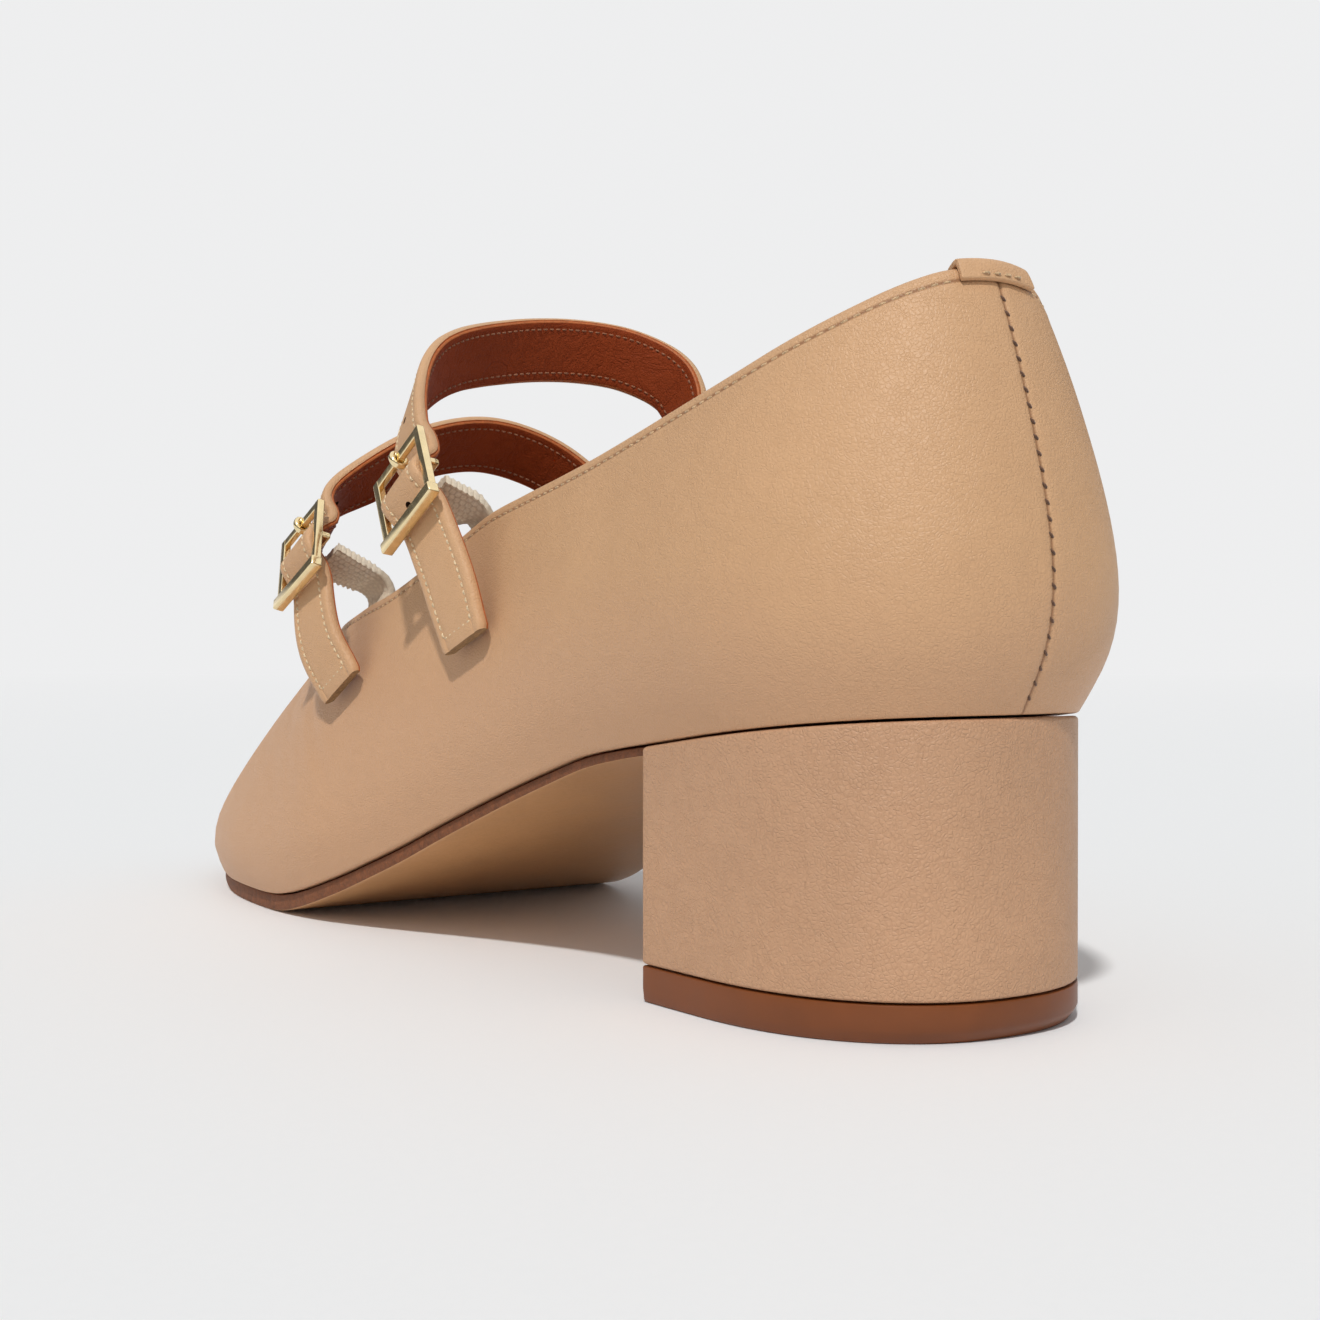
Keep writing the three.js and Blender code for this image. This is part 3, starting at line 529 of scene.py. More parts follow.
def grain_group():
    """Pebbled leather grain: small cells between fine creases, with pores and a slow change of colour."""
    if "Leather grain" in bpy.data.node_groups:
        return bpy.data.node_groups["Leather grain"]
    tree, start, end = new_group("Leather grain", (("Cell Size", 0.9), ("Wrinkle", 0.5), ("Pores", 0.3)),
                                 ("Height", "Creases", "Mottle"))
    place = place_of(tree)
    density = math_node(tree, "DIVIDE", 1000.0, start.outputs["Cell Size"])
    warp = add_node(tree, "ShaderNodeTexNoise", {"Vector": place, "Scale": 260.0, "Detail": 2.0})
    bent = add_node(tree, "ShaderNodeVectorMath", {0: warp.outputs["Color"], 1: (0.0012, 0.0012, 0.0012)},
                    operation="MULTIPLY")
    moved = add_node(tree, "ShaderNodeVectorMath", {0: place, 1: bent.outputs[0]}, operation="ADD").outputs[0]
    cells = add_node(tree, "ShaderNodeTexVoronoi", {"Vector": moved, "Scale": density},
                     feature="DISTANCE_TO_EDGE")
    plateau = spread(tree, cells.outputs["Distance"], 0.0, 0.22)
    fine = noise(tree, math_node(tree, "MULTIPLY", density, 2.1), 3.0, place, Roughness=0.6)
    folds = noise(tree, 170.0, 3.0, moved, Roughness=0.62, Distortion=1.2)
    ridge = spread(tree, math_node(tree, "ABSOLUTE", math_node(tree, "SUBTRACT", folds, 0.5)), 0.0, 0.07)
    specks = add_node(tree, "ShaderNodeTexVoronoi", {"Vector": place, "Scale": 420.0}, feature="F1")
    pore = spread(tree, specks.outputs["Distance"], 0.05, 0.16)
    height = weighted(tree, (plateau, 0.5), (noise(tree, 62.0, 1.5, place), 5.0), (fine, 0.6),
                      (ridge, start.outputs["Wrinkle"]), (pore, start.outputs["Pores"]))
    tree.links.new(height, end.inputs["Height"])
    # Creases is low in the grain's creases, where the leather takes painted shade.
    tree.links.new(weighted(tree, (plateau, 0.45), (ridge, 0.55)), end.inputs["Creases"])
    tree.links.new(noise(tree, 34.0, 5.0, place, Roughness=0.55), end.inputs["Mottle"])
    return tree


def principled(name, roughness, **sockets):
    """A material, its tree and its Principled shader. Sockets are set by name, with _ for a space."""
    material = bpy.data.materials.new(name)
    material.use_nodes = True
    tree = material.node_tree
    tree.nodes.clear()
    shader = add_node(tree, "ShaderNodeBsdfPrincipled", {"Roughness": roughness})
    for label, value in sockets.items():
        shader.inputs[label.replace("_", " ").title().replace("Ior", "IOR")].default_value = value
    end = tree.nodes.new("ShaderNodeOutputMaterial")
    tree.links.new(shader.outputs["BSDF"], end.inputs["Surface"])
    return material, tree, shader


def bump(tree, shader, height, strength, distance):
    """Feeds a height to the shader's normal. The distance is in metres."""
    node = add_node(tree, "ShaderNodeBump", {"Height": height, "Strength": strength, "Distance": distance})
    tree.links.new(node.outputs["Normal"], shader.inputs["Normal"])


def leather_material(name, colour, cell, roughness, depth, wrinkle, contrast, painted_seam_and_low_shade=False, shine=0.4):
    """Grained leather, with painted shade in the creases of its grain. Where the piece has them, painted
    shade darkens its stitch-row and back-seam grooves, and makes its tone slightly darker and pinker below
    about 56 to 78 mm up.
    """
    material, tree, shader = principled(name, roughness, specular_ior_level=shine)
    grain = add_node(tree, "ShaderNodeGroup", node_tree=grain_group())
    grain.inputs["Cell Size"].default_value = cell
    grain.inputs["Wrinkle"].default_value = wrinkle
    mottle = grain.outputs["Mottle"]
    base = blend_colour(tree, spread(tree, mottle, 0.3, 0.7),
                        rgb(colour, 1 - contrast * 0.5), rgb(colour, 1 + contrast * 0.35))
    # Painted shade: darker in the grain's creases, as far as the contrast allows.
    crease_shade = spread(tree, grain.outputs["Creases"], 0.0, 0.8, contrast, 0.0)
    base = blend_colour(tree, crease_shade, base, rgb(colour, (0.62, 0.5, 0.4)))
    if painted_seam_and_low_shade:
        # Painted shade: below about 56 to 78 mm up, the tone turns slightly darker and pinker, so the top of
        # the back stays lighter.
        level = add_node(tree, "ShaderNodeSeparateXYZ", {"Vector": place_of(tree)}).outputs["Z"]
        level = math_node(tree, "ADD", level, math_node(tree, "MULTIPLY", mottle, 0.03))
        low = spread(tree, level, 0.056, 0.078, 0.8, 0.0)
        base = blend_colour(tree, low, base, rgb(colour, (0.985, 0.95, 1.0)))
        # Painted shade in the grooves: darker along the stitch row and down the back seam.
        edge_row = bpy.context.scene.pump_sizes.edge_row
        row = math_node(tree, "SUBTRACT", attribute_of(tree, "edge"), edge_row)
        for value, inner, outer, share in ((attribute_of(tree, "seam"), 0.06, 0.36, 0.7),
                                           (row, 0.1, 0.42, 0.75)):
            dark = spread(tree, math_node(tree, "ABSOLUTE", value), inner, outer, share, 0.0)
            base = blend_colour(tree, dark, base, rgb(colour, (0.36, 0.24, 0.17)))
    tree.links.new(base, shader.inputs["Base Color"])
    gloss = spread(tree, mottle, 0.25, 0.75, roughness - 0.06, roughness + 0.07)
    tree.links.new(gloss, shader.inputs["Roughness"])
    bump(tree, shader, grain.outputs["Height"], 1.0, depth * MM)
    return material


def fibre_material(name, colour, darker, roughness, scale, depth, contrast):
    """Cut or painted edges and board: short fibres, layers and pits."""
    material, tree, shader = principled(name, roughness)
    mixed = weighted(tree, (noise(tree, scale, 6.0, Roughness=0.7, Distortion=0.4), 0.65),
                     (noise(tree, scale * 4.5, 3.0), 0.35))
    width = 0.16 / contrast
    paint(tree, shader, spread(tree, mixed, 0.5 - width, 0.5 + width), rgb(colour, darker), rgb(colour))
    bump(tree, shader, mixed, 1.0, depth * MM)
    return material


def metal_material(name, colour):
    """Polished gilt metal with hairline wear."""
    material, tree, shader = principled(name, 0.14, metallic=1.0)
    haze = noise(tree, 700.0, 4.0)
    tree.links.new(spread(tree, haze, 0.3, 0.7, 0.09, 0.24), shader.inputs["Roughness"])
    paint(tree, shader, spread(tree, haze, 0.35, 0.65), rgb(colour, 0.93), rgb(colour, 1.04))
    bump(tree, shader, noise(tree, 2600.0, 2.0), 0.25, 0.01 * MM)
    return material


def thread_material(name, colour):
    """Twisted sewing thread."""
    material, tree, shader = principled(name, 0.62, sheen_weight=0.25)
    twist = noise(tree, 3800.0, 2.0)
    paint(tree, shader, spread(tree, twist, 0.35, 0.65), rgb(colour, 0.62), rgb(colour, 1.15))
    bump(tree, shader, twist, 1.0, 0.05 * MM)
    return material


def knit_material(name, colour):
    """Knitted elastic: matt yarn, with painted shade between its bumps."""
    material, tree, shader = principled(name, 0.85, sheen_weight=0.4)
    yarn = noise(tree, 2600.0, 4.0, Roughness=0.65)
    pale = blend_colour(tree, spread(tree, yarn, 0.35, 0.65), rgb(colour, 0.86), rgb(colour, 1.06))
    # Painted shade: darker where the relief is low, between the bumps.
    gap = spread(tree, attribute_of(tree, "relief"), 0.05, 0.5, 0.5, 0.0)
    paint(tree, shader, gap, pale, rgb(colour, (0.5, 0.4, 0.3)))
    bump(tree, shader, yarn, 1.0, 0.08 * MM)
    return material


def rubber_material(name, colour):
    """Moulded rubber of the top piece: a soft gloss, fine scuffs and a few specks."""
    material, tree, shader = principled(name, 0.42, specular_ior_level=0.4)
    cloud = noise(tree, 90.0, 5.0)
    paint(tree, shader, spread(tree, cloud, 0.35, 0.65), rgb(colour, 0.9), rgb(colour, 1.08))
    tree.links.new(spread(tree, cloud, 0.3, 0.7, 0.36, 0.5), shader.inputs["Roughness"])
    bump(tree, shader, noise(tree, 1500.0, 3.0), 0.5, 0.02 * MM)
    return material


# Each finish: its maker, its colour setting, and the rest of what the maker is told.
FINISHES = {
    "upper_nappa": (leather_material, "leather", 0.56, 0.45, 0.085, 0.26, 0.1, True),
    "heel_nappa": (leather_material, "leather_heel", 0.6, 0.48, 0.12, 0.36, 0.14),
    "strap_nappa": (leather_material, "leather", 0.52, 0.45, 0.075, 0.28, 0.1),
    "russet_lining": (leather_material, "lining", 0.6, 0.55, 0.075, 0.9, 0.34, False, 0.14),
    "sole_tan": (leather_material, "sole", 1.3, 0.36, 0.02, 0.25, 0.16),
    "orange_edge": (fibre_material, "edge", 0.45, 0.6, 900.0, 0.12, 0.8),
    "raw_layers": (fibre_material, "raw", 0.35, 0.75, 1300.0, 0.25, 1.0),
    "leatherboard": (fibre_material, "board", 0.4, 0.7, 650.0, 0.3, 0.9),
    "dark_hollow": (fibre_material, "hollow", 0.4, 0.9, 900.0, 0.05, 0.6),
    "gilt": (metal_material, "gilt"),
    "tan_thread": (thread_material, "thread"),
    "brown_thread": (thread_material, "seam_thread"),
    "cream_thread": (thread_material, "strap_thread"),
    "russet_thread": (thread_material, "lining_thread"),
    "cream_knit": (knit_material, "knit"),
    "brown_rubber": (rubber_material, "rubber"),
}


def finish_of(name):
    """The material of one finish, made when it is first wanted."""
    if name in bpy.data.materials and bpy.data.materials[name].get("pump"):
        return bpy.data.materials[name]
    maker, hue, *details = FINISHES[name]
    material = maker(name, getattr(bpy.context.scene.pump_colours, hue), *details)
    material["pump"] = True
    return material


# Settings

def length_setting(name, value, description):
    """A length in millimetres."""
    return FloatProperty(name=name, description=description, default=value, min=0.0, unit="NONE")


def linear_light(level):
    """A colour channel given in the usual 0 to 255 steps, as linear light."""
    share = level / 255
    return share / 12.92 if share <= 0.04045 else ((share + 0.055) / 1.055) ** 2.4


def colour_setting(name, value, description):
    """A colour given in the usual 0 to 255 steps, kept as linear light."""
    return FloatVectorProperty(name=name, description=description, subtype="COLOR", size=3, min=0.0, max=1.0,
                               default=tuple(linear_light(v) for v in value))


class PumpSizes(bpy.types.PropertyGroup):
    """Sizes of the details that the frame leaves to the scene, in millimetres"""

    topline_pitch: length_setting("Topline stitch pitch", 1.75, "From stitch to stitch round the opening")
    strap_pitch: length_setting("Strap stitch pitch", 1.3, "From stitch to stitch along the straps")
    seam_pitch: length_setting("Back seam pitch", 2.1, "From stitch to stitch down the back seam")
    thread: length_setting("Thread", 0.34, "Thickness of the sewing thread")
    edge_row: length_setting("Row from edge", 2.1, "From the topline to its stitch row")
    strap_row: length_setting("Row from strap edge", 1.85, "From a strap's edge to its stitch row")
    hole: length_setting("Hole", 1.25, "Diameter of a strap's punched holes")
    hole_pitch: length_setting("Hole pitch", 6.1, "From hole to hole along a strap")
    seam_groove: length_setting("Seam groove", 0.2, "Depth of the groove down the back seam")
    knit_pitch: length_setting("Knit pitch", 1.1, "From bump to bump of the knitted elastic")
    lower_bar: length_setting("Buckle's lower bar", 2.0, "Width of a buckle's broad lower bar")
    bar_reach: length_setting("Bar's reach", 0.55, "How far the lower bar stands out past the side bars")
    line_step: length_setting("Line step", 1.6, "Distance between the upper's lines of points")
    knit_steps: IntProperty(name="Knit steps", description="Points to each bump of the knit", default=4,
                            min=3)


class PumpColours(bpy.types.PropertyGroup):
    """Colours of the pump's finishes"""

    leather: colour_setting("Leather", (206, 163, 122), "Tan leather of the upper and straps")
    # The heel's tan leather, darker and pinker than the upper's: painted shade from the upper's overhang.
    leather_heel: colour_setting("Heel leather", (196, 153, 119), "Tan leather over the heel")
    lining: colour_setting("Lining", (146, 62, 26), "Russet lining leather")
    edge: colour_setting("Edge", (205, 112, 52), "Painted edge of the straps' lining")
    raw: colour_setting("Raw edge", (176, 140, 98), "Cut end of a strap")
    board: colour_setting("Sole edge", (142, 84, 46), "Leatherboard at the sole's edge")
    sole: colour_setting("Sole", (196, 146, 98), "Smooth underside of the sole")
    rubber: colour_setting("Rubber", (120, 64, 26), "Top piece under the heel")
    gilt: colour_setting("Gilt", (242, 222, 176), "Buckles and prongs")
    thread: colour_setting("Topline thread", (206, 172, 130), "Stitches round the opening")
    seam_thread: colour_setting("Seam thread", (96, 62, 38), "Stitches down the back seam")
    strap_thread: colour_setting("Strap thread", (228, 204, 164), "Stitches along the straps")
    lining_thread: colour_setting("Lining thread", (158, 98, 62), "Stitches on the straps' lining")
    # The knit's own cream, set paler than its real tone: painted light, since the band lies in the strap's
    # shade.
    knit: colour_setting("Knit", (240, 226, 202), "Knitted elastic")
    # Dark brown on the walls of the punched holes: painted shade inside the holes.
    hollow: colour_setting("Hollow", (70, 40, 22), "Inside of the punched holes")
    floor: colour_setting("Floor", (244, 245, 246), "Studio floor and background")


# Operators

class PUMP_OT_upper(bpy.types.Operator):
    """Upper: the whole leather shell with its lining, rolled topline, back seam and soft creases"""

    bl_idname = "pump.upper"
    bl_label = "Upper"

    def execute(self, context):
        sizes = context.scene.pump_sizes
        skin = upper_skin(sizes)
        build_upper(skin, sizes)
        stitch_upper(skin, sizes)
        return {"FINISHED"}


def upper_skin(sizes):
    """The upper's faces with all that wall_row needs: knots round the shoe, wall heights and even lines."""
    outer, inner = upper_lines()
    ring = np.concatenate([outer, outer[:1]])
    step = np.linalg.norm(np.diff(ring, axis=0), axis=2).mean(axis=1)
    knots = np.concatenate([[0.0], np.cumsum(step)])
    heights = np.array([run_length(line)[-1] for line in outer])
    total = knots[-1]
    lines = np.linspace(0, total, int(total / sizes.line_step) + 1)[:-1]
    near = [0.22, 0.45, 0.75, 1.1]
    clear = near[-1] + 0.3
    kept = [v for v in lines if clear < v < total - clear or v == 0]
    lines = np.array(sorted(kept + near + [total - v for v in near]))
    return {"outer": outer, "inner": inner, "knots": knots, "heights": heights, "lines": lines,
            "total": total}


def wall_row(skin, face, level):
    """One row of points round the upper. level gives its height up the wall from the wall's own height."""
    rows = []
    for line, height in zip(skin[face], skin["heights"]):
        share = np.clip(level(height) / height, 0, 1) * (FACE_POINTS - 1)
        rows.append(smooth_run(np.arange(float(FACE_POINTS)), line, [share])[0])
    return smooth_run(skin["knots"], np.array(rows), skin["lines"], closed=True)


def skin_row(skin, face, down):
    """One row of points round the upper, some way down from the topline."""
    return wall_row(skin, face, lambda height: height - down)


def tuck(distance, radius):
    """How far a rounded edge of some radius has drawn in, some way from its end."""
    rest = max(0.0, radius - distance)
    return radius - math.sqrt(max(0.0, radius * radius - rest * rest))


def build_upper(skin, sizes):
    """Makes the shell row by row: up the outer face, over the rolled topline and down the lining."""
    outer_top = skin_row(skin, "outer", 0.0)
    inner_top = skin_row(skin, "inner", 0.0)
    roll = np.linalg.norm(inner_top - outer_top, axis=1).mean() / 2
    foot_roll = 0.35
    inwards = unit(inner_top - outer_top)
    foot_in = unit(wall_row(skin, "inner", lambda height: 0.0) - wall_row(skin, "outer", lambda height: 0.0))

    feet = [0.0, 0.12, 0.35, 0.7, 1.3, 2.2]
    tops = [5.6, 4.5, 3.7, 3.1, 2.7, 2.4, 2.1, 1.8, 1.5, 1.1, 0.75, 0.42, 0.18, 0.04]
    lining_tops = [0.04, 0.18, 0.42, 0.75, 1.1, 1.5, 1.8, 2.1, 2.4, 2.7, 3.4, 4.5]
    rows = []
    edge = []
    for up in feet:
        rows.append(wall_row(skin, "outer", lambda height: up) + foot_in * tuck(up, foot_roll))
        edge.append(FAR)
    for share in np.linspace(0, 1, 23)[1:-1]:
        rows.append(wall_row(skin, "outer", lambda height: feet[-1] + share * (height - tops[0] - feet[-1])))
        edge.append(FAR)
    for down in tops:
        rows.append(skin_row(skin, "outer", down) + inwards * tuck(down, roll))
        edge.append(down)
    outer_rows = len(rows)
    for down in lining_tops:
        rows.append(skin_row(skin, "inner", down) - inwards * tuck(down, roll))
        edge.append(down + ON_LINING)
    for share in np.linspace(0, 1, 14)[1:]:
        rows.append(wall_row(skin, "inner", lambda height: (height - lining_tops[-1]) * (1 - share)))
        edge.append(FAR + ON_LINING)
    shell = np.array(rows)
    count, around = shell.shape[:2]
    edges = np.repeat(np.array(edge)[:, None], around, axis=1)
    from_seam = np.minimum(skin["lines"], skin["total"] - skin["lines"])
    sign = np.where(skin["lines"] <= skin["total"] / 2, 1.0, -1.0)
    seam = np.linalg.norm(shell - shell[:, :1], axis=2) * sign[None]
    seam = np.where(from_seam[None] < 8.0, seam, FAR)

    out = unit(np.cross(np.roll(shell, -1, axis=1) - np.roll(shell, 1, axis=1), np.gradient(shell, axis=0)))
    middle = shell[:outer_rows].reshape(-1, 3).mean(axis=0)
    if ((shell[4] - middle) * out[4]).sum() < 0:
        out = -out
    groove_width = 0.34
    groove = np.exp(-((edges - sizes.edge_row) / groove_width) ** 2)
    groove += 0.6 * np.exp(-((edges - ON_LINING - sizes.edge_row) / groove_width) ** 2)
    fold = 0.12 / (1 + np.exp((edges - 3.6) / 0.25))
    lift = np.where(edges < 20, fold, 0) - 0.13 * groove
    on_outer = np.arange(count)[:, None] < outer_rows
    ramp = np.clip((np.arange(count)[:, None] - 2) / 3, 0, 1)
    beside = 0.1 * np.exp(-((np.abs(seam) - 1.5) / 1.0) ** 2)
    dip = sizes.seam_groove * np.exp(-(seam / groove_width) ** 2)
    lift += np.where(on_outer, ramp * (beside - dip), 0)
    lift += np.where(on_outer, crease_lift(shell), 0)
    shell = shell + out * lift[..., None]

    faces = grid_faces(count, around, closed_rows=True, closed_columns=True)
    lining_from = outer_rows + 4
    which = [int(lining_from <= k // around < count - 1) for k in range(len(faces))]
    materials = [finish_of("upper_nappa"), finish_of("russet_lining")]
    obj = add_mesh("upper_shell", shell.reshape(-1, 3), faces, materials, which)
    set_attribute(obj, "edge", np.where(edges >= ON_LINING, edges - ON_LINING, edges).ravel())
    set_attribute(obj, "seam", np.where(on_outer, seam, FAR).ravel())
    outward(obj)
    smooth(obj, 50)
    hand_over(obj, "upper_leather", "upper")


def crease_lift(shell):
    """How far the soft creases lower or raise each point."""
    lift = np.zeros(shell.shape[:2])
    steps = 40
    for points, depth, width in CREASES:
        line = np.array(points, float)
        knots = run_length(line)
        line = smooth_run(knots, line, np.linspace(0, knots[-1], steps))
        near = np.full(shell.shape[:2], np.inf)
        share = np.zeros(shell.shape[:2])
        for k, point in enumerate(line):
            gap = np.linalg.norm(shell - point, axis=2)
            share = np.where(gap < near, k / (steps - 1), share)
            near = np.minimum(near, gap)
        fade = np.sin(np.pi * np.clip(share, 0.02, 0.98)) ** 0.6
        beside = np.exp(-((near - 2.0 * width) / width) ** 2)
        lift += fade * depth * (0.45 * beside - np.exp(-(near / width) ** 2))
    return lift


def stitch_places(line, out, pitch, closed=False, margin=0.0):
    """Even places along a line, with the directions along it and out of the surface."""
    if closed:
        line = np.concatenate([line, line[:1]])
        out = np.concatenate([out, out[:1]])
    knots = run_length(line)
    count = int((knots[-1] - 2 * margin) / pitch)
    at = margin + (np.arange(count) + 0.5) * (knots[-1] - 2 * margin) / count

    def along_run(where, values):
        return np.stack([np.interp(where, knots, values[:, c]) for c in range(3)], axis=1)

    step = 0.2
    along = unit(along_run(at + step, line) - along_run(at - step, line))
    normal = along_run(at, out)
    normal = unit(normal - along * (normal * along).sum(axis=1, keepdims=True))
    return along_run(at, line), along, normal


def stitch_upper(skin, sizes):
    """Stitch rows round the opening, outside and inside, and down the back seam."""
    row = skin_row(skin, "outer", sizes.edge_row)
    lining_row = skin_row(skin, "inner", sizes.edge_row)
    out = unit(row - lining_row)
    beside_tab = 7.6
    pieces = []
    for line, normal, sink, clear in ((row, out, -0.06, beside_tab), (lining_row, -out, -0.03, 0.0)):
        points, along, normals = stitch_places(line, normal, sizes.topline_pitch, closed=True)
        keep = np.linalg.norm(points - row[0], axis=1) > clear
        points, along, normals = points[keep], along[keep], normals[keep]
        pieces.append(stitch_mesh("row", points + normals * sink, along, normals, sizes.topline_pitch * 0.72,
                                  sizes.thread, finish_of("tan_thread")))
    hand_over(join_objects("topline_stitches", pieces), "upper_leather")
    seam = skin["outer"][0]
    foot = 1.4
    below_tab = 4.4
    points, along, normals = stitch_places(seam, unit(seam - skin["inner"][0]), sizes.seam_pitch, margin=foot)
    keep = run_length(points) < skin["heights"][0] - below_tab - foot
    points, along, normals = points[keep], along[keep], normals[keep]
    obj = stitch_mesh("back_seam_stitches", points - normals * (sizes.seam_groove - 0.08), along, normals,
                      sizes.seam_pitch * 0.62, sizes.thread * 1.15, finish_of("brown_thread"), lean=48)
    hand_over(obj, "upper_leather")


class PUMP_OT_heel_tab(bpy.types.Operator):
    """Heel tab: a small folded patch of leather over the topline at the back seam"""

    bl_idname = "pump.heel_tab"
    bl_label = "Heel tab"

    def execute(self, context):
        sizes = context.scene.pump_sizes
        node = frame["nodes"]["heel_tab"]
        obj = node.copy()
        obj.data = node.data.copy()
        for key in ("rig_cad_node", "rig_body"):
            del obj[key]
        obj.parent = None
        obj.name = "heel_tab_leather"
        context.scene.collection.objects.link(obj)
        obj.data.materials.clear()
        obj.data.materials.append(finish_of("strap_nappa"))
        pick(obj)
        bpy.ops.object.mode_set(mode="EDIT")
        bpy.ops.mesh.select_all(action="SELECT")
        bpy.ops.mesh.remove_doubles(threshold=1e-6)
        bpy.ops.mesh.tris_convert_to_quads(face_threshold=math.pi, shape_threshold=math.pi)
        bpy.ops.object.mode_set(mode="OBJECT")
        bevel_edges(obj, 0.22, segments=2, angle=55)
        soft = obj.modifiers.new("soft", "SUBSURF")
        soft.levels = soft.render_levels = 2
        apply_modifiers(obj)
        smooth(obj, 60)
        hand_over(obj, "upper_leather", "heel_tab")
        skin = upper_skin(sizes)
        gap, thickness, fold, drop, inset = 0.3, 0.9, 0.05, 1.75, 1.4
        row = skin_row(skin, "outer", drop)
        out = unit(row - skin_row(skin, "inner", drop))
        near = (np.abs(row[:, 0]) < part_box("heel_tab")[1].x / MM - inset) & (row[:, 1] > 0)
        order = np.argsort(row[near][:, 0])
        out = out[near][order]
        line = row[near][order] + out * (gap + thickness + fold)
        points, along, normals = stitch_places(line, out, sizes.topline_pitch, margin=0.5)
        stitches = stitch_mesh("heel_tab_stitches", points - normals * 0.08, along, normals,
                               sizes.topline_pitch * 0.72, sizes.thread, finish_of("tan_thread"))
        hand_over(stitches, "upper_leather")
        return {"FINISHED"}


def heel_outline(shrink):
    """The heel's D outline from above, its breast corners softly rounded: points round it, in order."""
    low, high = (np.array(v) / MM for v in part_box("top_piece"))
    half = high[0] - shrink
    back = high[1] - shrink
    breast = low[1] + shrink
    round_length = 34.0 - shrink
    fullness = 2 / 2.3
    angles = np.linspace(0, math.pi, 150)
    c, s = np.cos(angles), np.sin(angles)
    x = np.sign(c) * np.abs(c) ** fullness * half
    y = back - round_length + np.abs(s) ** fullness * round_length
    corner = 1.1
    turns = np.linspace(0, math.pi / 2, 5)
    sides = np.linspace(back - round_length, breast + corner, 8)[1:-1]
    right = [(half, v) for v in sides]
    right += [(half - corner * (1 - math.cos(t)), breast + corner * (1 - math.sin(t))) for t in turns]
    across = [(v, breast) for v in np.linspace(half - corner, -half + corner, 24)[1:-1]]
    left = [(-p, q) for p, q in right[::-1]]
    outline = [tuple(p) for p in np.stack([x, y], axis=1)[::-1]]
    return np.array(outline + right + across + left)


class PUMP_OT_heel(bpy.types.Operator):
    """Heel: a covered block whose leather rolls over its top and bottom edges"""

    bl_idname = "pump.heel"
    bl_label = "Heel"

    def execute(self, context):
        gap = 0.3
        low, high = (np.array(v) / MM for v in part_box("heel"))
        base, back, seat = low[2], high[1], high[2] + gap
        foot_roll, seat_roll = 0.45, 0.6

        def envelope(y):
            return seat * (1 - 0.125 * ((back - y) / (2 * back)) ** 1.35) - gap

        layers = []
        for t in np.linspace(0, math.pi / 2, 6):
            layers.append((foot_roll * (1 - math.sin(t)),
                           lambda y, t=t: base + foot_roll * (1 - math.cos(t))))
        start = base + foot_roll
        for share in np.linspace(0, 1, 12)[1:-1]:
            layers.append((0.0, lambda y, s=share: start + s * (envelope(y) - seat_roll - start)))
        for t in np.linspace(0, math.pi / 2, 7):
            layers.append((seat_roll * (1 - math.cos(t)),
                           lambda y, t=t: envelope(y) - seat_roll * (1 - math.sin(t))))
        for shrink in (3.0, 8.0, 14.0):
            layers.append((shrink, envelope))
        rings = [[(x, y, level(min(max(y, -back), back))) for x, y in heel_outline(shrink)]
                 for shrink, level in layers]
        obj = swept("heel_cover", rings, [finish_of("heel_nappa")])
        smooth(obj, 40)
        hand_over(obj, "upper_leather", "heel")
        return {"FINISHED"}


class PUMP_OT_top_piece(bpy.types.Operator):
    """Top piece: the moulded rubber under the heel, its edge drawn in at the back"""

    bl_idname = "pump.top_piece"
    bl_label = "Top piece"

    def execute(self, context):
        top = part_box("top_piece")[1].z / MM
        draw, middle = 1.2, -24.0
        layers = ((0.4, 0.0, 1.0), (0.2, 0.1, 1.0), (0.1, 0.35, 0.9), (0.05, 1.2, 0.35), (0.0, 1.9, 0.0),
                  (0.0, 3.4, 0.0), (0.0, 4.8, 0.0), (0.06, 4.95, 0.0), (0.2, top, 0.0))
        rings = []
        for shrink, z, grow in layers:
            x, y = heel_outline(shrink).T
            back = draw * grow * np.clip((y + 10.0) / 34.0, 0, 1) ** 1.5
            x = x * (1 - back / 26.0)
            y = middle + (y - middle) * (1 - back / 48.0)
            rings.append(np.stack([x, y, np.full(len(x), z)], axis=1))
        obj = swept("rubber_top_piece", rings, [finish_of("brown_rubber")])
        smooth(obj, 40)
        hand_over(obj, "top_piece_rubber", "top_piece")
        return {"FINISHED"}


def plank_rings(node, step):
    """Even rings of a flat CAD plate along its length: inner and outer edges, top and bottom."""
    rings = swept_rings(node, 4)
    if rings[0, :, 1].mean() < rings[-1, :, 1].mean():
        rings = rings[::-1]
    mid = rings[len(rings) // 2]
    order = sorted(range(4), key=lambda j: (round(mid[j, 0]), -mid[j, 2]))
    rings = rings[:, order]
    knots = run_length(rings[:, [0, 2]].mean(axis=1))
    dense = np.linspace(0, knots[-1], int(knots[-1] / step))
    ends = np.array([0.15, 0.4, 0.8, 1.3])
    at = np.unique(np.concatenate([dense, ends, knots[-1] - ends]))
    return smooth_run(knots, rings, at)


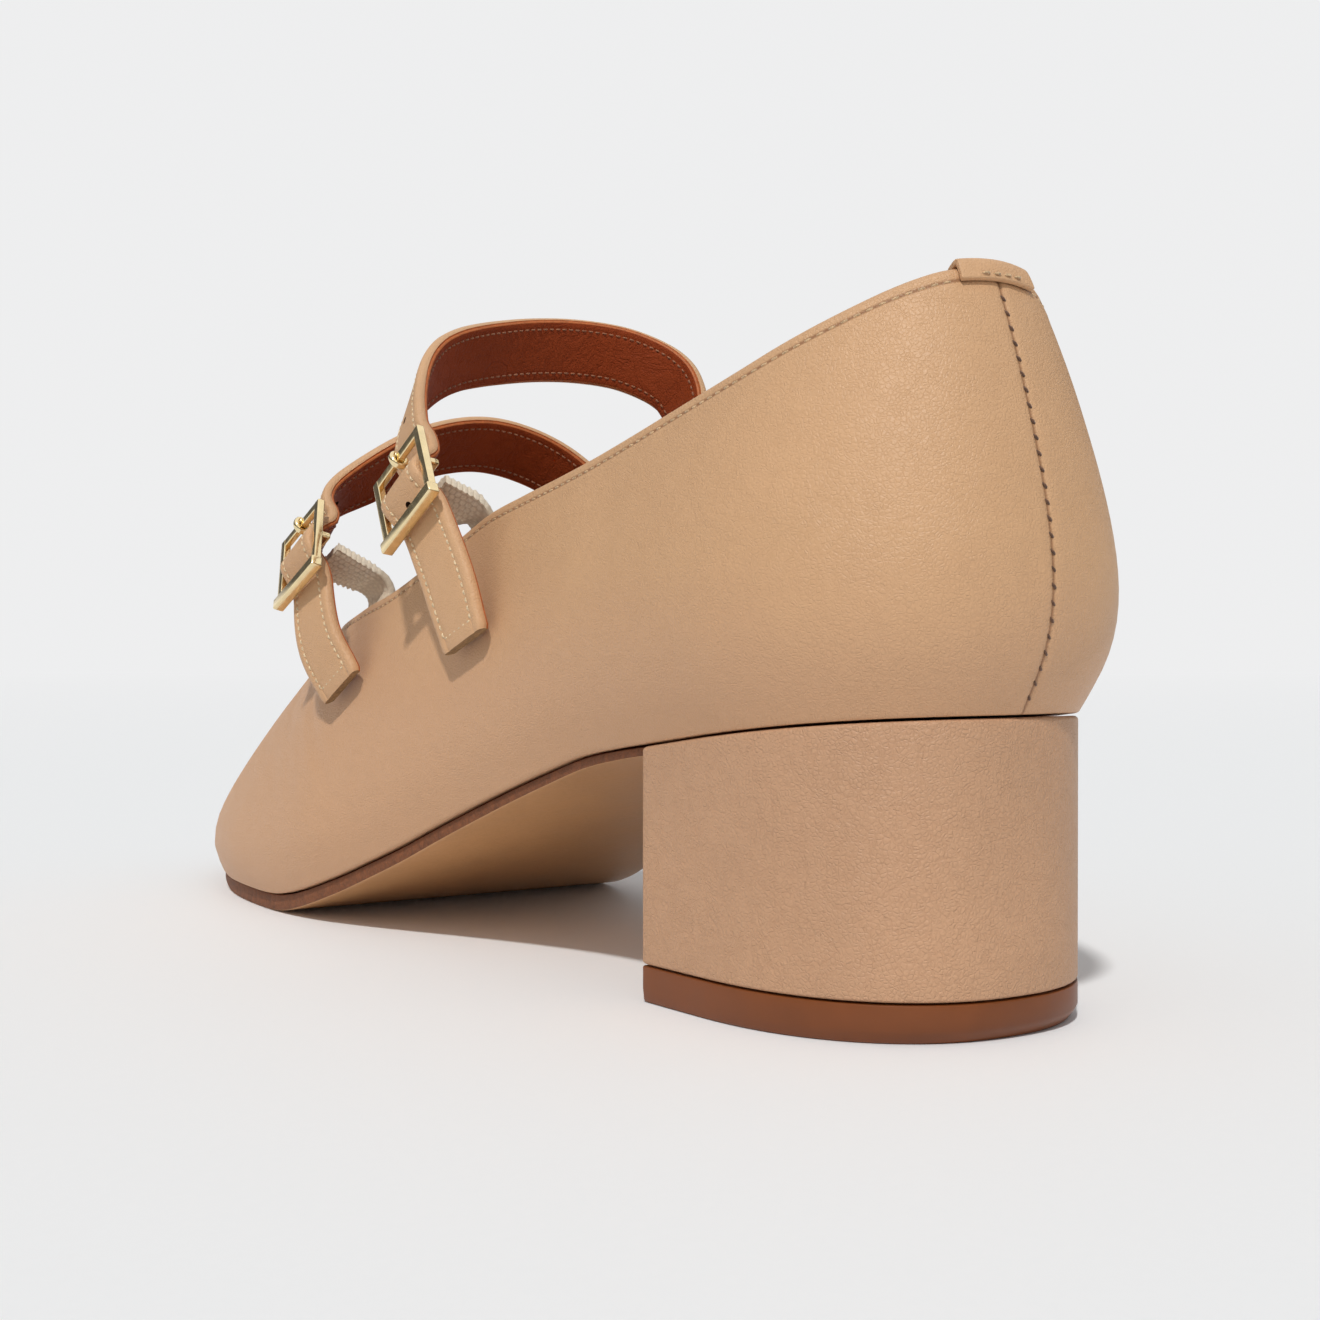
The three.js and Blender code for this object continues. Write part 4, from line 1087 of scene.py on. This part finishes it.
def plank(name, node, edge, crown, materials):
    """A plate with softened edges, slightly crowned or dished, from its CAD rings."""
    rings = plank_rings(node, 2.0)
    left_top, left_low, right_top, right_low = (rings[:, k] for k in range(4))
    half = np.linalg.norm(right_top - left_top, axis=1) / 2
    cut = np.minimum(edge, half * 0.3)
    drop = np.minimum(cut, (left_top[:, 2] - left_low[:, 2]) * 0.3)
    columns = 16
    shares = -np.cos(np.linspace(0, math.pi, columns))
    sections = []
    for left, right, sign in ((left_top, right_top, 1), (right_low, left_low, -1)):
        away = unit(right - left) * cut[:, None]
        below = np.array([0, 0, sign]) * drop[:, None]
        bulge = np.array([0, 0, 1]) * np.minimum(half / 30.0, 1.0)[:, None] * (crown if sign > 0 else 0.0)
        sections += [left - below, left + (away - below) * ROUND]
        for s in shares:
            point = left + away + (right - left - 2 * away) * ((s + 1) / 2)
            sections.append(point + bulge * (1 - s * s))
        sections += [right - (away + below) * ROUND, right - below]
    shell = np.array(sections).transpose(1, 0, 2)
    per_face = columns + 4
    on_under = range(per_face + 1, 2 * per_face - 2)
    obj = swept(name, shell, materials, lambda j: 0 if j in on_under else 1, 1)
    smooth(obj, 40)
    return obj


class PUMP_OT_soles(bpy.types.Operator):
    """Soles: the outsole with its leatherboard edge, and the lined insole inside the shoe"""

    bl_idname = "pump.soles"
    bl_label = "Soles"

    def execute(self, context):
        outsole = plank("leather_outsole", "outsole", 0.35, 0.0,
                        [finish_of("sole_tan"), finish_of("leatherboard")])
        hand_over(outsole, "sole_leather", "outsole")
        insole = plank("lined_insole", "insole", 0.8, -0.5,
                       [finish_of("leatherboard"), finish_of("russet_lining")])
        hand_over(insole, "lining_leather", "insole")
        return {"FINISHED"}


class PUMP_OT_straps(bpy.types.Operator):
    """Straps: two lined straps with rolled edges, stitch rows and punched holes"""

    bl_idname = "pump.straps"
    bl_label = "Straps"

    def execute(self, context):
        sizes = context.scene.pump_sizes
        for side in SIDES:
            band = band_frames(swept_rings(f"{side}_strap", 8), 0.7)
            build_strap(side, band, sizes)
            stitch_strap(side, band, sizes)
        return {"FINISHED"}


def build_strap(side, band, sizes):
    """Sweeps the strap's section along its frames, squares its tail off and punches its holes."""
    half = strap_section(band["w"], band["h"])
    profile = half + [(-a, b, m) for a, b, m in half[::-1]]
    across, out, tags = (np.array(v) for v in zip(*profile))
    edge_finish, raw_finish = 2, 3
    rings = []
    for k, at in enumerate(band["at"]):
        end = min(at, band["at"][-1] - at)
        slim = 1 - 0.05 * max(0.0, 1 - end / 0.7) ** 2
        rings.append(on_band(band, k, across * slim, out * (1 - 0.12 * max(0.0, 1 - end / 0.5))))

    def which(j):
        first, second = tags[j], tags[(j + 1) % len(tags)]
        return int(first) if first == second else edge_finish

    materials = [finish_of(name) for name in ("strap_nappa", "russet_lining", "orange_edge", "raw_layers",
                                              "dark_hollow")]
    obj = swept(f"{side}_strap_leather", rings, materials, which, raw_finish)
    hub = HUBS[side]
    worn_hole, first_hole = -1.7, 4.4
    for offset in (worn_hole, *(first_hole + n * sizes.hole_pitch for n in range(3))):
        at = hub["middle"] + hub["along"] * offset
        k = int(np.argmin(np.linalg.norm(band["middle"] - at, axis=1)))
        punch(obj, band["middle"][k], band["out"][k], sizes.hole / 2, 3.2)
    smooth(obj, 42)
    hand_over(obj, "upper_leather", f"{side}_strap")


def punch(obj, at, direction, radius, depth):
    """Punches a round hole through a piece."""
    deselect()
    rotation = Vector(direction).to_track_quat("Z", "Y").to_euler()
    bpy.ops.mesh.primitive_cylinder_add(vertices=20, radius=radius * MM, depth=depth * MM,
                                        location=Vector(at) * MM, rotation=rotation)
    tool = bpy.context.object
    # The hole's walls take the dark hole finish: painted shade inside the hole.
    tool.data.materials.append(finish_of("dark_hollow"))
    cut = obj.modifiers.new("hole", "BOOLEAN")
    cut.operation = "DIFFERENCE"
    cut.solver = "EXACT"
    cut.object = tool
    cut.material_mode = "TRANSFER"
    apply_modifiers(obj)
    bpy.data.objects.remove(tool)


def stitch_strap(side, band, sizes):
    """Stitch rows along both edges of a strap, on its outer face and its lining, and across its tail."""
    inset = band["w"] - sizes.strap_row
    keep = (band["at"] > sizes.strap_row) & (band["at"] < band["at"][-1] - 1.0)
    index = np.nonzero(keep)[0]
    across_tail = np.linspace(inset, -inset, 12)
    meshes = []
    h = band["h"]
    for level, sign, thread in ((h - 0.14, 1, "cream_thread"), (-h + 0.06, -1, "russet_thread")):
        normal = band["out"][index] * sign
        rows = [(np.array([on_band(band, k, a, level) for k in index]), normal) for a in (inset, -inset)]
        rows.append((np.array([on_band(band, index[0], a, level) for a in across_tail]),
                     np.repeat(normal[:1], len(across_tail), axis=0)))
        for line, out in rows:
            meshes.append(stitch_mesh("row", *stitch_places(line, out, sizes.strap_pitch),
                                      sizes.strap_pitch * 0.76, sizes.thread, finish_of(thread)))
    hand_over(join_objects(f"{side}_strap_stitches", meshes), "upper_leather")


class PUMP_OT_elastics(bpy.types.Operator):
    """Elastics: knitted bands from each buckle to the inside of the quarter"""

    bl_idname = "pump.elastics"
    bl_label = "Elastics"

    def execute(self, context):
        sizes = context.scene.pump_sizes
        for side in SIDES:
            band = band_frames(swept_rings(f"{side}_elastic", 8), sizes.knit_pitch / sizes.knit_steps)
            build_elastic(side, band, sizes)
        return {"FINISHED"}


def build_elastic(side, band, sizes):
    """Sweeps a knitted band whose bumps lie in staggered rows."""
    room = 0.25
    w, h = band["w"] - room, band["h"] - room
    pitch = sizes.knit_pitch
    top = np.linspace(-w, w, int(2 * w / (pitch / sizes.knit_steps)))
    rim = 0.5 * h
    profile = [(a, h, 1.0) for a in top] + [(w + 0.12, rim, 0.7), (w + 0.16, -rim, 0.7)]
    profile += [(a, -h, 1.0) for a in top[::-1]] + [(-w - 0.16, -rim, 0.7), (-w - 0.12, rim, 0.7)]
    rings = []
    relief = []
    heading = band["along"]
    reach = 3 * sizes.knit_steps
    for k, s in enumerate(band["at"]):
        before, after = heading[max(k - reach, 0)], heading[min(k + reach, len(heading) - 1)]
        calm = min(max(1.6 * float(np.dot(before, after)) - 0.45, 0.2), 1.0)
        ring = []
        for a, b, strength in profile:
            column = (a + w) / pitch
            row = math.floor(column + 0.5)
            phase = s / pitch * math.pi + (row % 2) * math.pi / 2
            height = calm * (abs(math.sin(phase)) * abs(math.cos(math.pi * (column - row)))) ** 0.8
            relief.append(height)
            swell = 0.75 * height * strength - 0.22
            ring.append(on_band(band, k, a * (1 + 0.02 * height), b + math.copysign(swell, b)))
        rings.append(ring)
    obj = swept(f"{side}_elastic_knit", rings, [finish_of("cream_knit")])
    set_attribute(obj, "relief", relief)
    smooth(obj, 70)
    hand_over(obj, "elastic_knit", f"{side}_elastic")


class PUMP_OT_buckles(bpy.types.Operator):
    """Buckles: bevelled frames with a broad lower bar, and a prong round each upper bar"""

    bl_idname = "pump.buckles"
    bl_label = "Buckles"

    def execute(self, context):
        sizes = context.scene.pump_sizes
        for side in SIDES:
            build_buckle(side, sizes)
        return {"FINISHED"}


def local_box(side, across, out, along, name):
    """A bevel-ready block in a buckle's own directions, from its lowest and highest offsets."""
    hub = HUBS[side]
    deselect()
    bpy.ops.mesh.primitive_cube_add(size=1.0)
    obj = bpy.context.object
    obj.name = name
    for vert in obj.data.vertices:
        a = across[0] if vert.co.x < 0 else across[1]
        o = out[0] if vert.co.y < 0 else out[1]
        b = along[0] if vert.co.z < 0 else along[1]
        vert.co = Vector((hub["middle"] + hub["across"] * a + hub["out"] * o + hub["along"] * b) * MM)
    outward(obj)
    return obj


def union(target, others):
    """Joins solids into the target's own solid."""
    for other in others:
        add = target.modifiers.new("union", "BOOLEAN")
        add.operation = "UNION"
        add.solver = "EXACT"
        add.object = other
        apply_modifiers(target)
        bpy.data.objects.remove(other)
    return target


def bevel_edges(obj, width, segments=3, angle=40):
    """Rounds the sharp edges of a piece. The width is in millimetres."""
    edge = obj.modifiers.new("edge", "BEVEL")
    edge.width = width * MM
    edge.segments = segments
    edge.limit_method = "ANGLE"
    edge.angle_limit = math.radians(angle)
    apply_modifiers(obj)


def build_buckle(side, sizes):
    """Cuts the frame from blocks: two side bars, a slim upper bar, a broad lower bar and the middle bar."""
    inner = STRAP_HALF_WIDTH + 0.5
    outer = inner + SIDE_BAR
    rise = STRAP_HALF_THICKNESS + BAR_GAP + BAR_DEPTH / 2 + 0.5
    low, high = rise - BAR_DEPTH / 2, rise + BAR_DEPTH / 2
    end = WINDOW / 2
    foot, top = -end - SIDE_BAR + 0.3, end + TOP_BAR
    left = local_box(side, (-outer + 0.25, -inner), (low, high), (foot, top), "side_bar")
    right = local_box(side, (inner, outer - 0.25), (low, high), (foot, top), "side_bar")
    upper = local_box(side, (-outer + 0.3, outer - 0.3), (low + 0.1, high - 0.05), (end, top), "top_bar")
    for piece in (left, right, upper):
        bevel_edges(piece, 0.22)
    stand_out = outer + sizes.bar_reach - 0.5
    lower = local_box(side, (-stand_out, stand_out), (low - 0.15, high + 0.55),
                      (-end - sizes.lower_bar + 0.1, -end + 0.1), "lower_bar")
    bevel_edges(lower, 0.28)
    half = 0.55
    under = STRAP_LIFT - STRAP_HALF_THICKNESS - BAR_GAP - BAR_DEPTH / 2 - 0.25
    reach = outer - 0.5
    middle = local_box(side, (-reach, reach), (under - half, under + half), (-half, half), "middle_bar")
    legs = [local_box(side, span, (under - half, low + 0.4), (-half, half), "leg")
            for span in ((-reach, 1.0 - reach), (reach - 1.0, reach))]
    for piece in (middle, *legs):
        bevel_edges(piece, 0.3)
    obj = union(left, [right, upper, lower, middle, *legs])
    obj.name = f"{side}_buckle_frame"
    obj.data.materials.clear()
    obj.data.materials.append(finish_of("gilt"))
    smooth(obj, 30)
    hand_over(obj, "gilt_metal", f"{side}_buckle")
    hand_over(prong_loop(side, rise), "gilt_metal", f"{side}_prong")


def prong_loop(side, rise):
    """A wire loop round the upper bar whose pin reaches down to the strap's hole."""
    hub = HUBS[side]
    wire = 0.5
    centre = (WINDOW + TOP_BAR) / 2
    path = []
    for angle in np.radians(np.linspace(240, -60, 25) + 90):
        path.append((centre + (TOP_BAR / 2 + wire + 0.12) * math.cos(angle),
                     rise + (BAR_DEPTH / 2 + wire + 0.1) * math.sin(angle)))
    last = path[-1]
    path += [(last[0] - ahead, last[1] - down) for ahead, down in ((0.5, 0.15), (1.2, 0.45), (1.7, 0.8))]
    centre_line = np.array([hub["middle"] + hub["along"] * b + hub["out"] * o for b, o in path])
    along = unit(np.gradient(centre_line, axis=0))
    out = np.cross(along, hub["across"])
    rings = []
    for k in range(len(path)):
        thick = wire * (1.0 if k < len(path) - 2 else 0.75)
        wide = thick * 1.25
        rings.append([centre_line[k] + hub["across"] * math.cos(t) * wide + out[k] * math.sin(t) * thick
                      for t in np.linspace(0, 2 * math.pi, 13)[:-1]])
    obj = swept(f"{side}_prong_loop", rings, [finish_of("gilt")])
    smooth(obj, 50)
    return obj


class PUMP_OT_stage(bpy.types.Operator):
    """Stage: pale floor, studio lights and the camera of the photograph"""

    bl_idname = "pump.stage"
    bl_label = "Stage"

    def execute(self, context):
        pale = context.scene.pump_colours.floor
        deselect()
        bpy.ops.mesh.primitive_circle_add(vertices=96, radius=9.0, fill_type="NGON",
                                          location=(0, 0, -0.05 * MM))
        floor = context.object
        floor.name = "studio_floor"
        material, tree, shader = principled("studio_floor", 0.7)
        far = add_node(tree, "ShaderNodeVectorMath", {0: place_of(tree)}, operation="LENGTH").outputs["Value"]
        fade = spread(tree, far, 0.5, 3.0)
        grit = noise(tree, 700.0, 3.0)
        paint(tree, shader, grit, rgb(pale, 0.985), rgb(pale))
        bump(tree, shader, grit, 0.3, 0.05 * MM)
        glow = add_node(tree, "ShaderNodeEmission", {"Color": BACKDROP, "Strength": 1.0})
        mixed = add_node(tree, "ShaderNodeMixShader", {0: fade, 1: shader.outputs["BSDF"],
                                                       2: glow.outputs["Emission"]})
        end = next(n for n in tree.nodes if n.type == "OUTPUT_MATERIAL")
        tree.links.new(mixed.outputs["Shader"], end.inputs["Surface"])
        floor.data.materials.append(material)
        studio_light(context)
        studio_camera(context)
        return {"FINISHED"}


def camera_heading():
    """The direction the camera looks in."""
    turn = math.radians(CAMERA_HEADING)
    down = math.radians(CAMERA_DOWN)
    return Vector((-math.sin(turn) * math.cos(down), -math.cos(turn) * math.cos(down), -math.sin(down)))


def studio_camera(context):
    """The photograph's viewpoint, turned to take in the whole shoe."""
    data = bpy.data.cameras.new("studio_camera")
    data.sensor_width = 36.0
    data.lens = CAMERA_LENS
    data.clip_start = 0.01
    data.clip_end = 50.0
    camera = bpy.data.objects.new("studio_camera", data)
    camera.location = Vector(CAMERA_AT) * MM
    camera.rotation_euler = camera_heading().to_track_quat("-Z", "Y").to_euler()
    context.scene.collection.objects.link(camera)
    context.scene.camera = camera


def studio_light(context):
    """A firm key from above the camera's right, in a white room. Gloss reflects one dark band round it."""
    sun = bpy.data.lights.new("key", "SUN")
    sun.energy = 2.08
    sun.angle = math.radians(3.5)
    sun.color = (1.0, 0.985, 0.965)
    key = bpy.data.objects.new("key", sun)
    towards = Vector((0.43, 0.42, 0.80))
    key.rotation_euler = towards.to_track_quat("Z", "Y").to_euler()
    context.scene.collection.objects.link(key)
    world = bpy.data.worlds.new("studio")
    world.use_nodes = True
    tree = world.node_tree
    background = tree.nodes["Background"]
    background.inputs["Color"].default_value = (0.94, 0.97, 1.0, 1.0)
    background.inputs["Strength"].default_value = 0.4
    seen = add_node(tree, "ShaderNodeBackground", {"Color": BACKDROP, "Strength": 1.0})
    path = tree.nodes.new("ShaderNodeLightPath")
    facing = add_node(tree, "ShaderNodeTexCoord").outputs["Generated"]
    level = add_node(tree, "ShaderNodeSeparateXYZ", {"Vector": facing}).outputs["Z"]
    band_foot, band_top = spread(tree, level, 0.1, 0.18), spread(tree, level, 0.42, 0.6)
    band = math_node(tree, "SUBTRACT", band_foot, band_top)
    mirrored = add_node(tree, "ShaderNodeBackground", {"Color": (0.94, 0.92, 0.9, 1.0),
                                                       "Strength": spread(tree, band, 0.0, 1.0, 1.05, 0.12)})
    bright = add_node(tree, "ShaderNodeMixShader", {0: path.outputs["Is Glossy Ray"],
                                                    1: seen.outputs[0], 2: mirrored.outputs[0]})
    mixed = add_node(tree, "ShaderNodeMixShader", {0: path.outputs["Is Diffuse Ray"],
                                                   1: bright.outputs[0], 2: background.outputs[0]})
    end = next(n for n in tree.nodes if n.type == "OUTPUT_WORLD")
    tree.links.new(mixed.outputs["Shader"], end.inputs["Surface"])
    context.scene.world = world
    context.scene.view_settings.view_transform = "Standard"


class PUMP_PT_panel(bpy.types.Panel):
    """The pump's pieces, sizes and colours"""

    bl_idname = "PUMP_PT_panel"
    bl_label = "Mary jane pump"
    bl_space_type = "VIEW_3D"
    bl_region_type = "UI"
    bl_category = "Pump"

    def draw(self, context):
        layout = self.layout
        for operator in OPERATORS:
            layout.operator(operator.bl_idname)
        for group in (context.scene.pump_sizes, context.scene.pump_colours):
            box = layout.box()
            for name in group.bl_rna.properties.keys():
                if name not in ("rna_type", "name"):
                    box.prop(group, name)


OPERATORS = (PUMP_OT_stage, PUMP_OT_upper, PUMP_OT_heel_tab, PUMP_OT_heel, PUMP_OT_top_piece, PUMP_OT_soles,
             PUMP_OT_straps, PUMP_OT_elastics, PUMP_OT_buckles)
CLASSES = (PumpSizes, PumpColours, *OPERATORS, PUMP_PT_panel)


def register():
    """Registers the classes and their settings."""
    for cls in CLASSES:
        bpy.utils.register_class(cls)
    bpy.types.Scene.pump_sizes = PointerProperty(type=PumpSizes)
    bpy.types.Scene.pump_colours = PointerProperty(type=PumpColours)


def unregister():
    """Takes the classes and their settings away again."""
    del bpy.types.Scene.pump_sizes
    del bpy.types.Scene.pump_colours
    for cls in reversed(CLASSES):
        bpy.utils.unregister_class(cls)


def main():
    """Registers the add-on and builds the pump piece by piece."""
    register()
    for operator in OPERATORS:
        group, name = operator.bl_idname.split(".")
        getattr(getattr(bpy.ops, group), name)()


if __name__ == "__main__":
    main()
